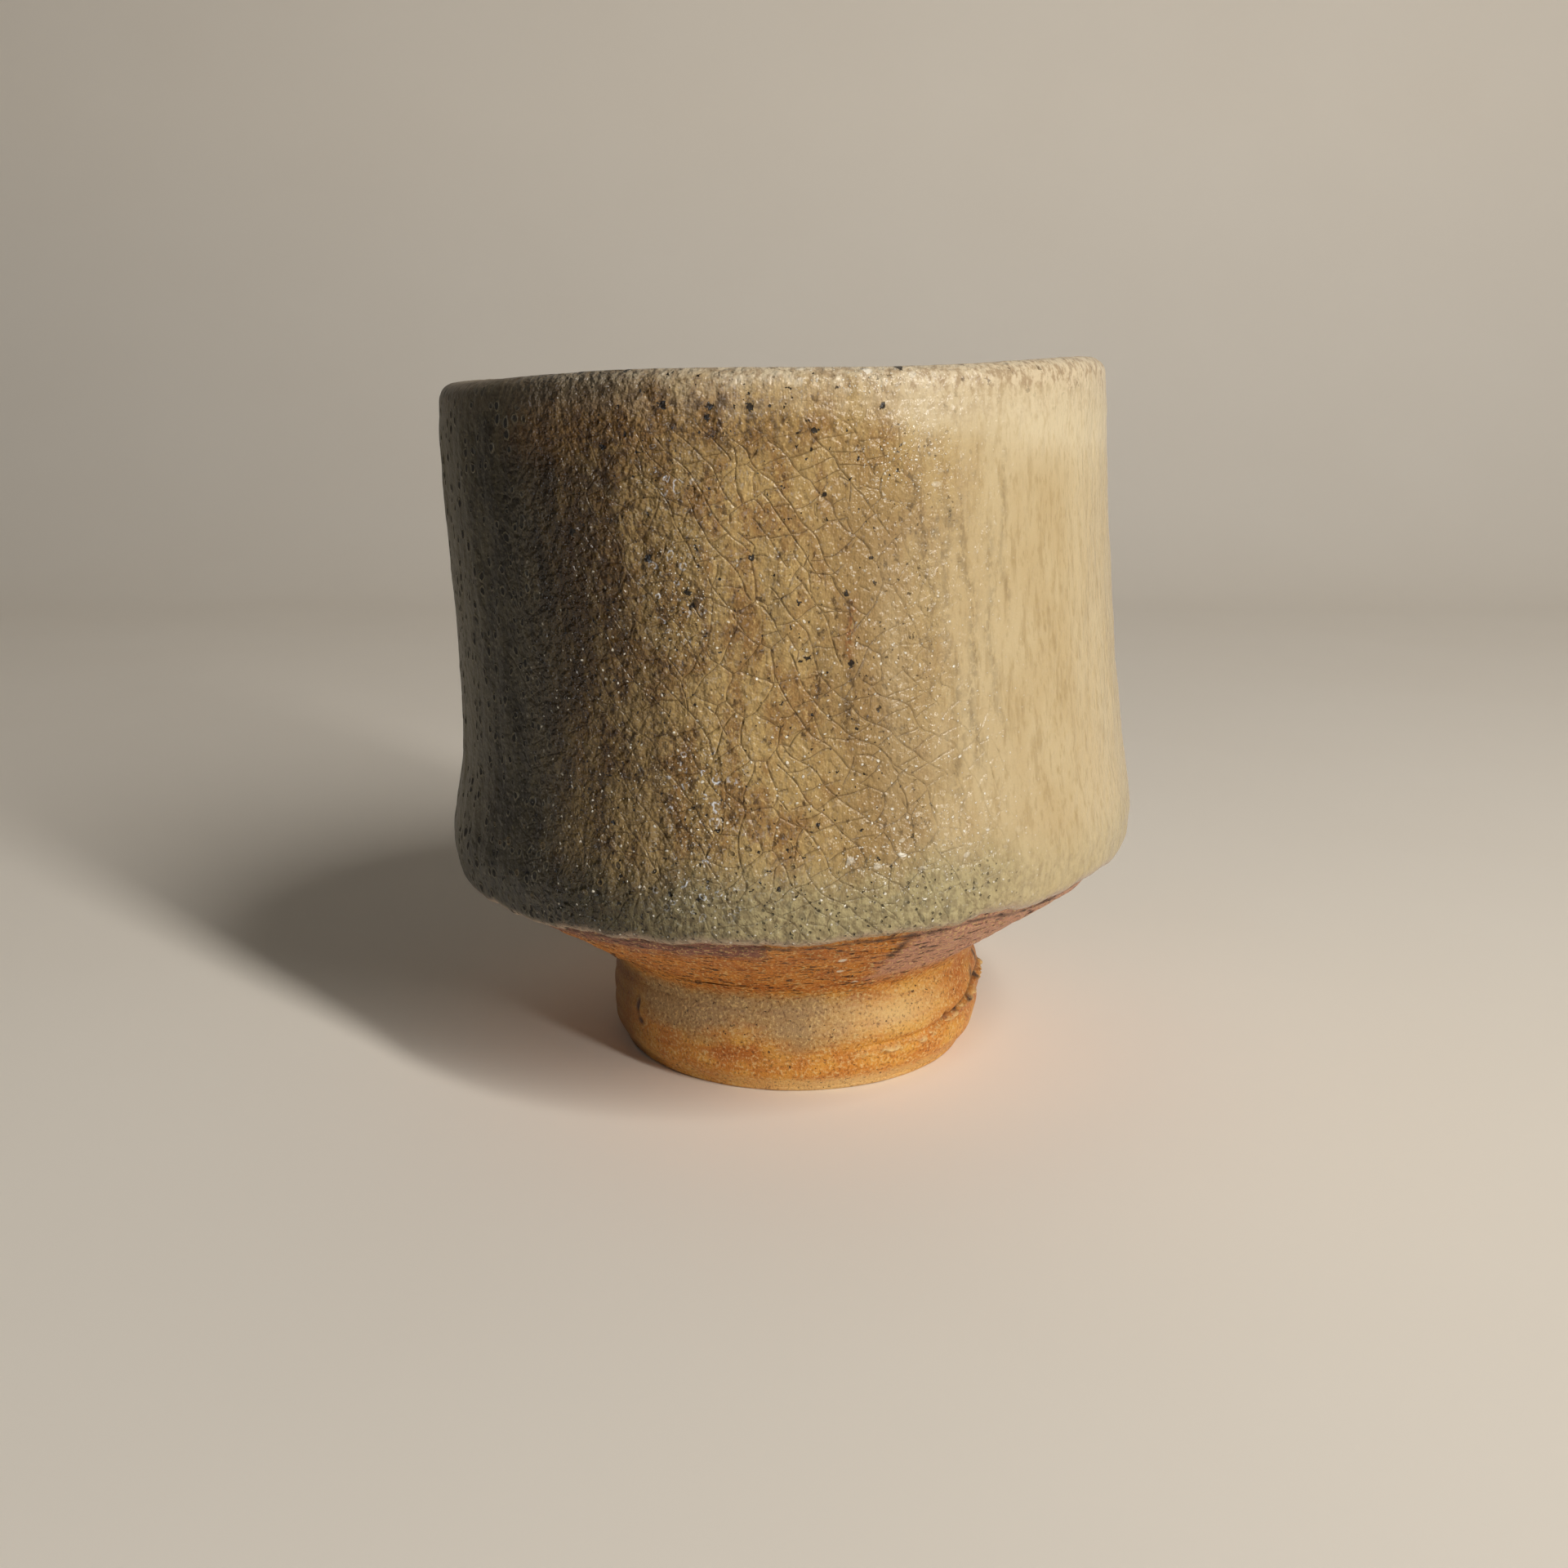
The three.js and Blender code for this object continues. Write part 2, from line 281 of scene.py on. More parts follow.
def turned_mesh(name, places, angle, along, marks, closed, flat_rows=()):
    """Mesh of a grid of places, rows along the profile and columns round the pot. A closed grid joins its
    last row to its first; an open one starts and ends in a point on the axis. `marks` are named values per
    place. Strips that start at `flat_rows` are shaded flat, so that an edge beside them stays sharp. The UV
    map called sheet lays the surface flat, in millimetres, with its cut at the back."""
    rows, columns = places.shape[:2]
    index = np.arange(rows * columns).reshape(rows, columns)
    if not closed:
        index[0] = index[0, 0]
        index[-1] = index[-1, 0]
    low = index if closed else index[:-1]
    high = np.roll(index, -1, 0) if closed else index[1:]
    quads = np.stack([low, np.roll(low, -1, 1), np.roll(high, -1, 1), high], -1).reshape(-1, 4)
    flat_u = np.broadcast_to(angle * RIM_RADIUS, (rows, columns))
    next_u = np.roll(flat_u, -1, 1) + np.where(np.arange(columns) == columns - 1, math.tau * RIM_RADIUS, 0)
    flat_v = np.broadcast_to(along, (rows, columns))
    high_v = np.roll(flat_v, -1, 0)
    used = len(low)
    u = np.stack([flat_u, next_u, next_u, flat_u], -1)[:used].reshape(-1)
    v = np.stack([flat_v, flat_v, high_v, high_v], -1)[:used].reshape(-1)
    mesh = bpy.data.meshes.new(name)
    corners = quads.reshape(-1)
    mesh.vertices.add(rows * columns)
    mesh.vertices.foreach_set("co", (places * METRES).reshape(-1))
    mesh.loops.add(len(corners))
    mesh.loops.foreach_set("vertex_index", corners)
    mesh.polygons.add(len(quads))
    mesh.polygons.foreach_set("loop_start", np.arange(0, len(corners), 4))
    rounded = np.ones((used, columns), bool)
    rounded[list(flat_rows)] = False
    mesh.polygons.foreach_set("use_smooth", rounded.reshape(-1))
    mesh.uv_layers.new(name="sheet").data.foreach_set("uv", np.stack([u, v], -1).reshape(-1))
    for mark, values in marks.items():
        layer = mesh.attributes.new(mark, "FLOAT", "POINT")
        spread = np.broadcast_to(values, (rows, columns)).reshape(-1)
        layer.data.foreach_set("value", spread.astype(np.float32))
    mesh.update(calc_edges=True)
    mesh.validate(clean_customdata=False)
    return mesh


def add_object(name, data):
    """New object in the scene."""
    thing = bpy.data.objects.new(name, data)
    bpy.context.scene.collection.objects.link(thing)
    return thing


def dress(name, mesh, node, material):
    """Adds a piece to the scene in place of a node of the frame."""
    mesh.materials.append(material)
    piece = add_object(name, mesh)
    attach(piece, "root")
    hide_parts(node)


# Node materials

SMALLEST_DOT = 0.35
DOT_CORE = 0.55
LINE_LOOSENESS = 0.85


def paint(red, green, blue):
    """Linear colour of an 8-bit one."""
    srgb = np.array([red, green, blue]) / 255
    linear = np.where(srgb <= 0.04045, srgb / 12.92, ((srgb + 0.055) / 1.055) ** 2.4)
    return (*(float(c) for c in linear), 1.0)


class Finish:
    """A node material being written. Its methods add nodes and give back the output of the last one."""

    def __init__(self, name):
        self.material = bpy.data.materials.new(name)
        self.material.use_nodes = True
        self.tree = self.material.node_tree
        self.tree.nodes.clear()

    def add(self, kind, inputs, output=0, **settings):
        node = self.tree.nodes.new(kind)
        for key, value in settings.items():
            setattr(node, key, value)
        for key, value in inputs.items():
            if isinstance(value, bpy.types.NodeSocket):
                self.tree.links.new(value, node.inputs[key])
            else:
                node.inputs[key].default_value = value
        return node.outputs[output]

    def place(self):
        """Place on the object, in millimetres."""
        coordinates = self.add("ShaderNodeTexCoord", {}, "Object")
        return self.add("ShaderNodeVectorMath", {0: coordinates, "Scale": 1 / METRES}, operation="SCALE")

    def sheet(self):
        """Place on the surface laid flat, in millimetres."""
        return self.add("ShaderNodeUVMap", {}, uv_map="sheet")

    def mark(self, name):
        """Value of a mark worked out with the mesh."""
        return self.add("ShaderNodeAttribute", {}, "Fac", attribute_name=name)

    def stretched(self, vector, factors):
        return self.add("ShaderNodeVectorMath", {0: vector, 1: factors}, operation="MULTIPLY")

    def turned(self, vector, degrees):
        rotation = (0, 0, math.radians(degrees))
        return self.add("ShaderNodeMapping", {0: vector, "Rotation": rotation})

    def drifted(self, vector, size, reach):
        """The vector moved about by soft noise."""
        inputs = {"Vector": vector, "Scale": 1 / size, "Detail": 2.0}
        shift = self.add("ShaderNodeTexNoise", inputs, "Color")
        centred = self.add("ShaderNodeVectorMath", {0: shift, 1: (0.5, 0.5, 0.5)}, operation="SUBTRACT")
        scaled = self.add("ShaderNodeVectorMath", {0: centred, "Scale": reach}, operation="SCALE")
        return self.add("ShaderNodeVectorMath", {0: vector, 1: scaled}, operation="ADD")

    def noise(self, vector, size, detail=2.0, rough=0.5):
        inputs = {"Vector": vector, "Scale": 1 / size, "Detail": detail, "Roughness": rough}
        return self.add("ShaderNodeTexNoise", inputs)

    def cell_edges(self, vector, size):
        """Distance to the nearest edge of flat random cells, in cell sizes."""
        inputs = {"Vector": vector, "Scale": 1 / size}
        return self.add("ShaderNodeTexVoronoi", inputs, feature="DISTANCE_TO_EDGE", voronoi_dimensions="2D")

    def lines(self, vector, degrees, shift, spacing):
        """A family of irregular parallel lines across a turned direction: distance to the nearest one, in
        millimetres, and a chance value for each strip between them."""
        across = self.add("ShaderNodeSeparateXYZ", {0: self.turned(vector, degrees)}, 0)
        inputs = {"W": self.plus(across, shift), "Scale": 1 / spacing, "Randomness": LINE_LOOSENESS}
        kind = {"voronoi_dimensions": "1D"}
        edge = self.add("ShaderNodeTexVoronoi", inputs, feature="DISTANCE_TO_EDGE", **kind)
        colour = self.add("ShaderNodeTexVoronoi", inputs, "Color", feature="F1", **kind)
        chance = self.add("ShaderNodeSeparateColor", {0: colour}, 0)
        return self.times(edge, spacing), chance

    def dots(self, vector, size, largest, share):
        """Round dots strewn over flat cells: radii from a third of `largest` of a cell up to it, in a share
        of the cells."""
        inputs = {"Vector": vector, "Scale": 1 / size}
        kind = {"feature": "F1", "voronoi_dimensions": "2D"}
        distance = self.add("ShaderNodeTexVoronoi", inputs, **kind)
        colour = self.add("ShaderNodeTexVoronoi", inputs, "Color", **kind)
        chance = self.add("ShaderNodeSeparateColor", {0: colour}, 0)
        luck = self.calc("DIVIDE", self.calc("SUBTRACT", share, chance), share)
        spread = self.plus(SMALLEST_DOT, self.times(luck, 1 - SMALLEST_DOT))
        radius = self.times(self.rise(luck, 0.0, 0.01), spread, largest)
        return self.rise(distance, radius, self.times(radius, DOT_CORE))

    def calc(self, operation, total, *values):
        """Values joined one after the other by an operation."""
        for value in values:
            total = self.add("ShaderNodeMath", {0: total, 1: value}, operation=operation)
        return total

    def times(self, *values):
        return self.calc("MULTIPLY", *values)

    def plus(self, *values):
        return self.calc("ADD", *values)

    def rise(self, value, low, high, end=1.0):
        """Smooth change from 0 to end as the value goes from low to high."""
        inputs = {0: value, 1: low, 2: high, 3: 0.0, 4: end}
        return self.add("ShaderNodeMapRange", inputs, interpolation_type="SMOOTHSTEP")

    def mix(self, share, first, second):
        inputs = {0: share, 6: first, 7: second}
        return self.add("ShaderNodeMix", inputs, 2, data_type="RGBA", clamp_factor=True)

    def close(self, colour, roughness, height, specular=0.5):
        """Ends the material: a glossy or dry surface whose relief is a height in millimetres."""
        bumped = self.add("ShaderNodeBump", {"Strength": 1.0, "Distance": METRES, "Height": height})
        inputs = {"Base Color": colour, "Roughness": roughness, "Normal": bumped}
        inputs["Specular IOR Level"] = specular
        surface = self.add("ShaderNodeBsdfPrincipled", inputs)
        end = self.tree.nodes.new("ShaderNodeOutputMaterial")
        self.tree.links.new(surface, end.inputs["Surface"])
        return self.material


# Glaze colours
BLOOM = paint(224, 208, 174)
CREAM = paint(209, 189, 149)
STRAW = paint(198, 174, 131)
HONEY = paint(171, 146, 103)
PALE_GOLD = paint(220, 188, 126)
GOLD = paint(186, 156, 101)
KHAKI = paint(158, 129, 85)
BROWN = paint(150, 111, 62)
UMBER = paint(66, 46, 26)
# Dark brown of the glaze, also used as painted shade on the left of the front
DARK_BROWN_AND_SHADE = paint(46, 34, 20)
ASH_PALE = paint(136, 127, 102)
# Dark olive-greys of the left and back: the glaze's own colour, made darker still as painted shade
ASH_GREY = paint(74, 68, 51)
ASH_DARK = paint(46, 41, 29)
POOL_GREEN = paint(186, 173, 130)
POOL_GREY = paint(150, 137, 102)
POOL_SHADE = paint(72, 67, 49)
POOL_DARK = paint(30, 28, 20)
THIN_GLAZE = paint(200, 177, 154)
RIM_PALE = paint(222, 204, 172)
RIM_BROWN = paint(166, 140, 108)
CRACK_BROWN = paint(58, 38, 20)
PIT_BLACK = paint(20, 15, 12)
RUST = paint(150, 88, 42)
# Colour of painted highlights and glints
GLINT = paint(254, 247, 230)
# Colour of painted reflections of the cool window
COOL_GLINT = paint(236, 243, 254)


def ash_glaze():
    """Semi-gloss ash glaze: straw, amber and grey by its marks, clouded and streaked down the wall, greenish
    where it pools, pale on the lip, with slanting crackle, pinholes, burst bubbles and iron specks. Some of
    its
    colour is painted light: shade on the left and in the pits and craters, glints, and lit rims round pits."""
    f = Finish("ash_glaze")
    place = f.place()
    sheet = f.sheet()
    names = ("amber", "grey", "dusk", "pool", "rim", "coarse", "gloss", "bloom")
    amber, grey, dusk, pool, rim, coarse, gloss, bloom = (f.mark(name) for name in names)
    upright = f.stretched(place, (1.0, 1.0, 0.5))
    cloud = f.noise(upright, 5.0, 3.0, 0.55)
    zones = f.noise(upright, 3.4, 4.0, 0.6)
    char = f.noise(f.stretched(place, (1.0, 1.0, 0.7)), 0.8, 4.0, 0.66)
    fibre = f.noise(f.stretched(place, (1.0, 1.0, 0.3)), 0.6, 3.0, 0.62)
    grain = f.noise(place, 0.42, 2.0, 0.6)
    runs = f.noise(f.stretched(place, (1.0, 1.0, 0.17)), 1.2, 3.0, 0.6)
    # Crackle: long slanting cracks, short ones across each strip, and many-sided cells in other places
    crackle = f.mark("crackle")
    wandering = f.drifted(f.drifted(sheet, 14.0, 9.0), 3.0, 0.7)
    region = f.noise(sheet, 8.0)
    long_cracks, strip = f.lines(wandering, -36, 0.0, 2.6)
    long_cracks = f.plus(long_cracks, f.rise(region, 0.54, 0.6))
    cross_cracks, plate = f.lines(wandering, -105, f.times(strip, 170.0), 2.6)
    cross_cracks = f.plus(cross_cracks, f.rise(region, 0.5, 0.56))
    cells = f.times(f.cell_edges(f.stretched(f.turned(wandering, 25), (1.0, 0.7, 1.0)), 2.8), 2.8)
    cells = f.plus(cells, f.rise(region, 0.5, 0.45))
    nearest = f.calc("MINIMUM", cross_cracks, cells, long_cracks)
    cracks = f.times(f.rise(nearest, 0.065, 0.02), crackle)
    cushion = f.times(f.rise(nearest, 0.0, 0.25), crackle)
    tone = f.times(f.plus(plate, -0.5), crackle)
    # Colour of the melt
    straw = f.mix(f.plus(0.25, f.rise(cloud, 0.36, 0.64, 0.5)), STRAW, CREAM)
    straw = f.mix(f.rise(runs, 0.5, 0.68, 0.5), straw, HONEY)
    straw = f.mix(f.rise(fibre, 0.5, 0.7, 0.45), straw, HONEY)
    milky = f.plus(0.5, f.rise(fibre, 0.7, 0.45, 0.4))
    straw = f.mix(f.times(bloom, milky), straw, BLOOM)
    gold = f.mix(f.times(f.rise(f.plus(zones, f.times(tone, 0.12)), 0.42, 0.64), 0.85), GOLD, BROWN)
    gold = f.mix(f.rise(fibre, 0.5, 0.7, 0.35), gold, BROWN)
    gold = f.mix(f.rise(grain, 0.53, 0.68, 0.55), gold, PALE_GOLD)
    gold = f.mix(f.mark("toast"), gold, KHAKI)
    charred = f.plus(char, f.times(f.plus(zones, -0.5), 0.3), f.times(dusk, 0.1), -0.03)
    gold = f.mix(f.rise(charred, 0.54, 0.66, 0.75), gold, UMBER)
    ash = f.mix(f.rise(zones, 0.4, 0.64), ASH_GREY, ASH_DARK)
    ash = f.mix(f.rise(char, 0.5, 0.62, 0.6), ash, PIT_BLACK)
    ash = f.mix(f.rise(grain, 0.54, 0.68, 0.4), ash, ASH_PALE)
    # Painted reflection: the grey glaze lightened at the far left edge
    ash = f.mix(bloom, ash, ASH_PALE)
    melt = f.mix(amber, straw, gold)
    # Painted shade: the left of the front darkened towards dark brown, partly the glaze's own brown
    melt = f.mix(f.times(dusk, f.plus(0.7, f.times(zones, 0.5))), melt, DARK_BROWN_AND_SHADE)
    # Grey glaze on the left and back, its darkness partly painted shade
    melt = f.mix(grey, melt, ash)
    # Brown scorch under the rim; a line of it along the groove under the lip is painted shade
    scorch = f.mark("scorch")
    melt = f.mix(f.times(scorch, 0.5), melt, BROWN)
    melt = f.mix(f.times(scorch, f.rise(char, 0.42, 0.6)), melt, UMBER)
    melt = f.mix(f.times(f.mark("streaks"), f.rise(char, 0.4, 0.56)), melt, UMBER)
    melt = f.mix(f.times(f.mark("rust"), f.rise(grain, 0.4, 0.56), 0.8), melt, RUST)
    mottle = f.rise(char, 0.6, 0.4)
    pool_light = f.mix(mottle, POOL_GREEN, POOL_GREY)
    # Darker pool colours, used where the pool is deep and as painted shade on its left
    pool_deep = f.mix(mottle, POOL_SHADE, POOL_DARK)
    melt = f.mix(pool, melt, f.mix(f.mark("deep_and_shaded_pool"), pool_light, pool_deep))
    melt = f.mix(f.mark("thin"), melt, THIN_GLAZE)
    lip = f.mix(f.rise(char, 0.42, 0.62, 0.75), RIM_PALE, RIM_BROWN)
    lip = f.mix(f.times(f.rise(f.noise(place, 1.3, 3.0, 0.6), 0.62, 0.68), 0.6), lip, UMBER)
    # The lip darkens on the left by the same mark: partly painted shade
    melt = f.mix(rim, melt, f.mix(f.times(dusk, 0.8), lip, DARK_BROWN_AND_SHADE))
    stained = f.plus(0.1, f.rise(amber, 0.3, 1.0, 0.34), f.times(dusk, 0.2))
    melt = f.mix(f.times(cracks, stained), melt, CRACK_BROWN)
    # Pinholes, burst bubbles and iron specks
    small_pits = f.times(f.dots(sheet, 0.9, 0.21, 0.4), f.rise(pool, 0.3, 0.85), 0.75)
    pitted = f.rise(f.mark("pitting"), 0.1, 0.7)
    strewn = f.drifted(f.stretched(f.drifted(sheet, 2.0, 0.8), (1.0, 0.75, 1.0)), 0.7, 0.45)
    large_pits = f.times(f.dots(strewn, 1.5, 0.32, 0.6), pitted)
    pit_rims = f.times(f.dots(strewn, 1.5, 0.46, 0.6), pitted)
    # Painted highlight: pale lit rims round the large pits
    melt = f.mix(f.times(pit_rims, 0.6), melt, ASH_PALE)
    bursting = f.mark("bursting")
    crater_sheet = f.drifted(sheet, 3.0, 1.0)
    craters = f.times(f.dots(crater_sheet, 2.0, 0.19, 0.4), bursting)
    crater_rims = f.times(f.dots(crater_sheet, 2.0, 0.28, 0.4), bursting)
    # Painted highlight: pale-gold lit rims round the burst craters
    melt = f.mix(f.times(crater_rims, 0.35), melt, PALE_GOLD)
    iron = f.times(f.rise(f.noise(place, 0.8, 2.0, 0.6), 0.67, 0.71), amber)
    pits = f.calc("MAXIMUM", small_pits, craters)
    ragged = f.plus(f.mark("specks"), f.times(f.plus(grain, -0.5), 1.4))
    black = f.calc("MAXIMUM", iron, f.rise(ragged, 0.5, 0.66))
    # Painted shade: pinholes and craters painted black where their hollows are dark; iron specks are black of
    # their own
    melt = f.mix(f.calc("MAXIMUM", f.times(pits, 0.85), f.times(black, 0.95)), melt, PIT_BLACK)
    melt = f.mix(f.times(large_pits, 0.9), melt, PIT_BLACK)
    # Painted glints: near-white dots and beads on small raised bubbles and beads, standing for highlights
    bubble_glints = f.times(f.dots(f.drifted(sheet, 4.0, 2.0), 1.3, 0.14, 0.45), f.mark("bubble_glints"))
    glossy = f.times(f.rise(gloss, 0.1, 0.6), f.rise(f.noise(place, 1.6), 0.36, 0.48))
    painted_sparkles = f.times(f.dots(f.drifted(sheet, 1.5, 0.6), 0.66, 0.18, 0.75), glossy)
    bubble_glints = f.calc("MAXIMUM", bubble_glints, painted_sparkles)
    bead_sheet = f.stretched(f.drifted(sheet, 3.0, 1.5), (0.7, 1.2, 1.0))
    beads = f.times(f.dots(bead_sheet, 1.7, 0.36, 0.4), f.mark("beads"))
    melt = f.mix(f.calc("MAXIMUM", f.times(bubble_glints, 0.9), f.times(beads, 0.95)), melt, GLINT)
    # Painted reflection: bluish-white broken rings that stand for glints of the cool window
    ring_sheet = f.drifted(f.drifted(sheet, 2.0, 1.4), 0.6, 0.4)
    rings = f.plus(f.dots(ring_sheet, 1.7, 0.36, 0.75), f.times(f.dots(ring_sheet, 1.7, 0.24, 0.75), -1.0))
    rings = f.times(rings, f.mark("cool"), f.rise(f.noise(place, 0.5), 0.44, 0.54))
    melt = f.mix(f.times(rings, 0.95), melt, COOL_GLINT)
    # Surface
    roughness = f.plus(
        0.2, f.times(gloss, -0.12), f.times(rim, 0.06), f.times(black, 0.1), f.times(grey, 0.22),
        f.times(pits, 0.4), f.times(large_pits, 0.5), f.times(bubble_glints, -0.14),
    )
    swing = f.plus(0.04, f.times(coarse, 0.08), f.times(gloss, 0.22))
    peel = f.times(f.noise(place, 1.9, 1.0), swing)
    steep = f.plus(1.0, f.times(dusk, 2.2), f.times(grey, -2.7))
    uneven = f.times(f.noise(place, 0.9, 2.0, 0.5), coarse, steep, 0.45)
    felt = f.times(fibre, f.plus(0.14, f.times(grey, -0.14)))
    crazing = f.plus(f.times(cushion, 0.085), f.times(cracks, -0.02))
    sunk = f.plus(f.times(pits, -0.4), f.times(large_pits, -0.2), f.times(black, -0.08))
    rims = f.times(f.plus(pit_rims, crater_rims), 0.16)
    raised = f.times(f.plus(bubble_glints, beads), 0.08)
    relief = f.plus(peel, uneven, felt, crazing, sunk, rims, raised)
    return f.close(melt, roughness, relief, specular=0.35)


# Bare clay colours
ORANGE = paint(224, 145, 52)
DEEP_ORANGE = paint(196, 113, 34)
PURPLE = paint(144, 90, 76)
MAUVE = paint(208, 152, 124)
# Dark stain, also used as painted shade on the clay
DARK_STAIN_AND_SHADE = paint(78, 48, 28)
OCHRE = paint(232, 172, 74)
OLIVE = paint(186, 152, 102)
# Pale clay, also used for a painted highlight on the foot
PALE_CLAY = paint(242, 208, 142)
TEAR = paint(60, 36, 24)
WHITE_GRIT = paint(246, 230, 206)


def flashed_clay():
    """Bare stoneware flashed by the fire: orange by default, with purple, mauve, olive, pale and stained
    places by its marks, torn along the turning where it was trimmed, and sandy all over. Its pale mark holds
    a painted highlight on the foot, and its stain mark painted shade under the glaze's edge and on the foot."""
    f = Finish("flashed_clay")
    place = f.place()
    torn = f.mark("torn")
    bands = f.noise(f.stretched(place, (0.16, 0.16, 1.6)), 1.3, 4.0, 0.62)
    tears = f.rise(f.noise(f.stretched(place, (0.4, 0.4, 2.0)), 0.6, 3.0, 0.6), 0.58, 0.65)
    cloud = f.noise(place, 4.0, 5.0, 0.62)
    grain = f.noise(place, 0.38, 2.0, 0.6)
    sand = f.noise(place, 0.16, 1.0, 0.6)
    broken = f.plus(f.times(f.plus(grain, -0.5), 0.9), f.times(f.plus(cloud, -0.5), 1.2))
    warm = f.mix(f.rise(cloud, 0.4, 0.64), ORANGE, DEEP_ORANGE)
    thrown = f.mix(f.rise(cloud, 0.36, 0.66), OCHRE, ORANGE)
    body = f.mix(f.mark("foot"), warm, thrown)
    body = f.mix(f.rise(bands, 0.45, 0.66, 0.6), body, DEEP_ORANGE)
    body = f.mix(f.mark("mauve"), body, MAUVE)
    body = f.mix(f.mark("purple"), body, PURPLE)
    body = f.mix(f.rise(f.plus(f.mark("olive"), broken), 0.0, 1.1), body, OLIVE)
    body = f.mix(f.rise(f.plus(f.mark("flash"), broken), 0.1, 1.1), body, DEEP_ORANGE)
    # Pale places of the foot: scuffs and crumbs, and a painted highlight on the side that faces the light
    body = f.mix(f.mark("pale"), body, PALE_CLAY)
    body = f.mix(f.rise(grain, 0.52, 0.68, 0.75), body, PALE_CLAY)
    body = f.mix(f.rise(grain, 0.46, 0.28, 0.6), body, DARK_STAIN_AND_SHADE)
    body = f.mix(f.times(tears, torn, 0.9), body, TEAR)
    # Stains, and painted shade: the shadow under the glaze's edge and the shaded places of the foot
    body = f.mix(f.mark("stain_and_shade"), body, DARK_STAIN_AND_SHADE)
    flecks = f.rise(f.noise(place, 0.6, 2.0, 0.6), 0.31, 0.27)
    body = f.mix(f.times(flecks, 0.85), body, TEAR)
    body = f.mix(f.rise(f.mark("grit"), 0.3, 0.6), body, WHITE_GRIT)
    roughness = f.plus(0.34, f.times(grain, 0.2))
    rough_relief = f.plus(f.times(bands, 0.2), f.times(tears, -0.25), f.times(grain, 0.1))
    sandy = f.plus(f.times(grain, 0.2), f.times(sand, 0.05), f.times(flecks, -0.12))
    relief = f.plus(f.times(rough_relief, torn), sandy)
    return f.close(body, roughness, relief, specular=0.4)


# Pieces

def outer_thickness(run):
    """Thickness of the outer glaze at a distance from its lower edge: thin, then rolled, then even."""
    edge = (OUTER_GLAZE - GLAZE_EDGE) * bump(run, 0, GLAZE_ROLL_WIDTH / 2)
    roll = (GLAZE_ROLL - OUTER_GLAZE) * bump(run, GLAZE_ROLL_WIDTH, GLAZE_ROLL_WIDTH)
    return OUTER_GLAZE - edge + roll


def glaze_edge(angle):
    """Distance along the clay at which the outer glaze ends under the corner."""
    swing = GLAZE_LAP_SWING * np.cos(angle - GLAZE_LAP_ANGLE)
    ripple = GLAZE_LAP_RIPPLE * np.sin(5 * angle) * np.cos(2 * angle)
    ragged = 0.22 * waves(angle, 0.0, 9.0, 9.0, 31) + 0.1 * waves(angle, 0.0, 2.5, 9.0, 32)
    return STATION["wall_foot"] - GLAZE_LAP + swing - ripple + ragged


# Upright brown streaks: strength, degrees round, top, bottom and half-width
STREAKS = (
    (0.5, -118, 84, 45, 1.9), (0.45, -122, 73, 60, 1.5), (0.3, -99, 71, 57, 2.2), (0.35, -90, 68, 57, 1.0),
    (0.45, -110, 52, 38, 1.4), (0.35, -85, 62, 50, 0.9), (0.6, -80.6, 57, 49, 0.7),
    (0.35, -68, 76, 52, 0.6), (0.35, -61, 72, 44, 0.6), (0.3, -64.5, 74, 40, 0.5),
    (0.25, -57, 70, 48, 0.5), (0.25, -53.5, 77, 60, 0.4),
)
# Iron specks: degrees round, height, half-width and half-height
SPECKS = (
    (-109, 67.6, 0.6, 0.6), (-93.8, 67.7, 0.6, 0.6), (-103.5, 64.2, 0.5, 0.5), (-103, 62.8, 0.4, 0.5),
    (-115.2, 79.0, 0.5, 0.5), (-121.5, 70.4, 0.5, 0.6), (-105.8, 83.0, 0.65, 0.6), (-98.8, 82.9, 0.55, 0.5),
    (-93, 82.8, 0.5, 0.5), (-99.2, 81.7, 0.4, 0.45), (-73.8, 82.7, 0.45, 0.45), (-84, 80.5, 0.4, 0.45),
    (-80.5, 63.9, 0.4, 0.5), (-80.5, 56.5, 0.5, 0.5), (-120, 86.3, 0.4, 0.4), (-112, 86.3, 0.36, 0.4),
    (-70.5, 86.3, 0.65, 0.4),
)
# Larger bubbles that burst in the pooled glaze, given in the same way
BURST_BUBBLES = (
    (-134, 32.2, 0.6, 0.5), (-127.7, 33.0, 0.45, 0.4), (-119.8, 31.5, 0.4, 0.35), (-116.2, 30.7, 0.42, 0.38),
    (-115.5, 33.1, 0.35, 0.35), (-114.2, 32.0, 0.42, 0.38), (-111, 32.6, 0.36, 0.33),
    (-108.2, 32.2, 0.48, 0.42), (-103.8, 32.0, 0.55, 0.5), (-102.5, 33.6, 0.36, 0.33),
    (-92.5, 32.9, 0.42, 0.4), (-143.5, 33.0, 0.5, 0.45),
)


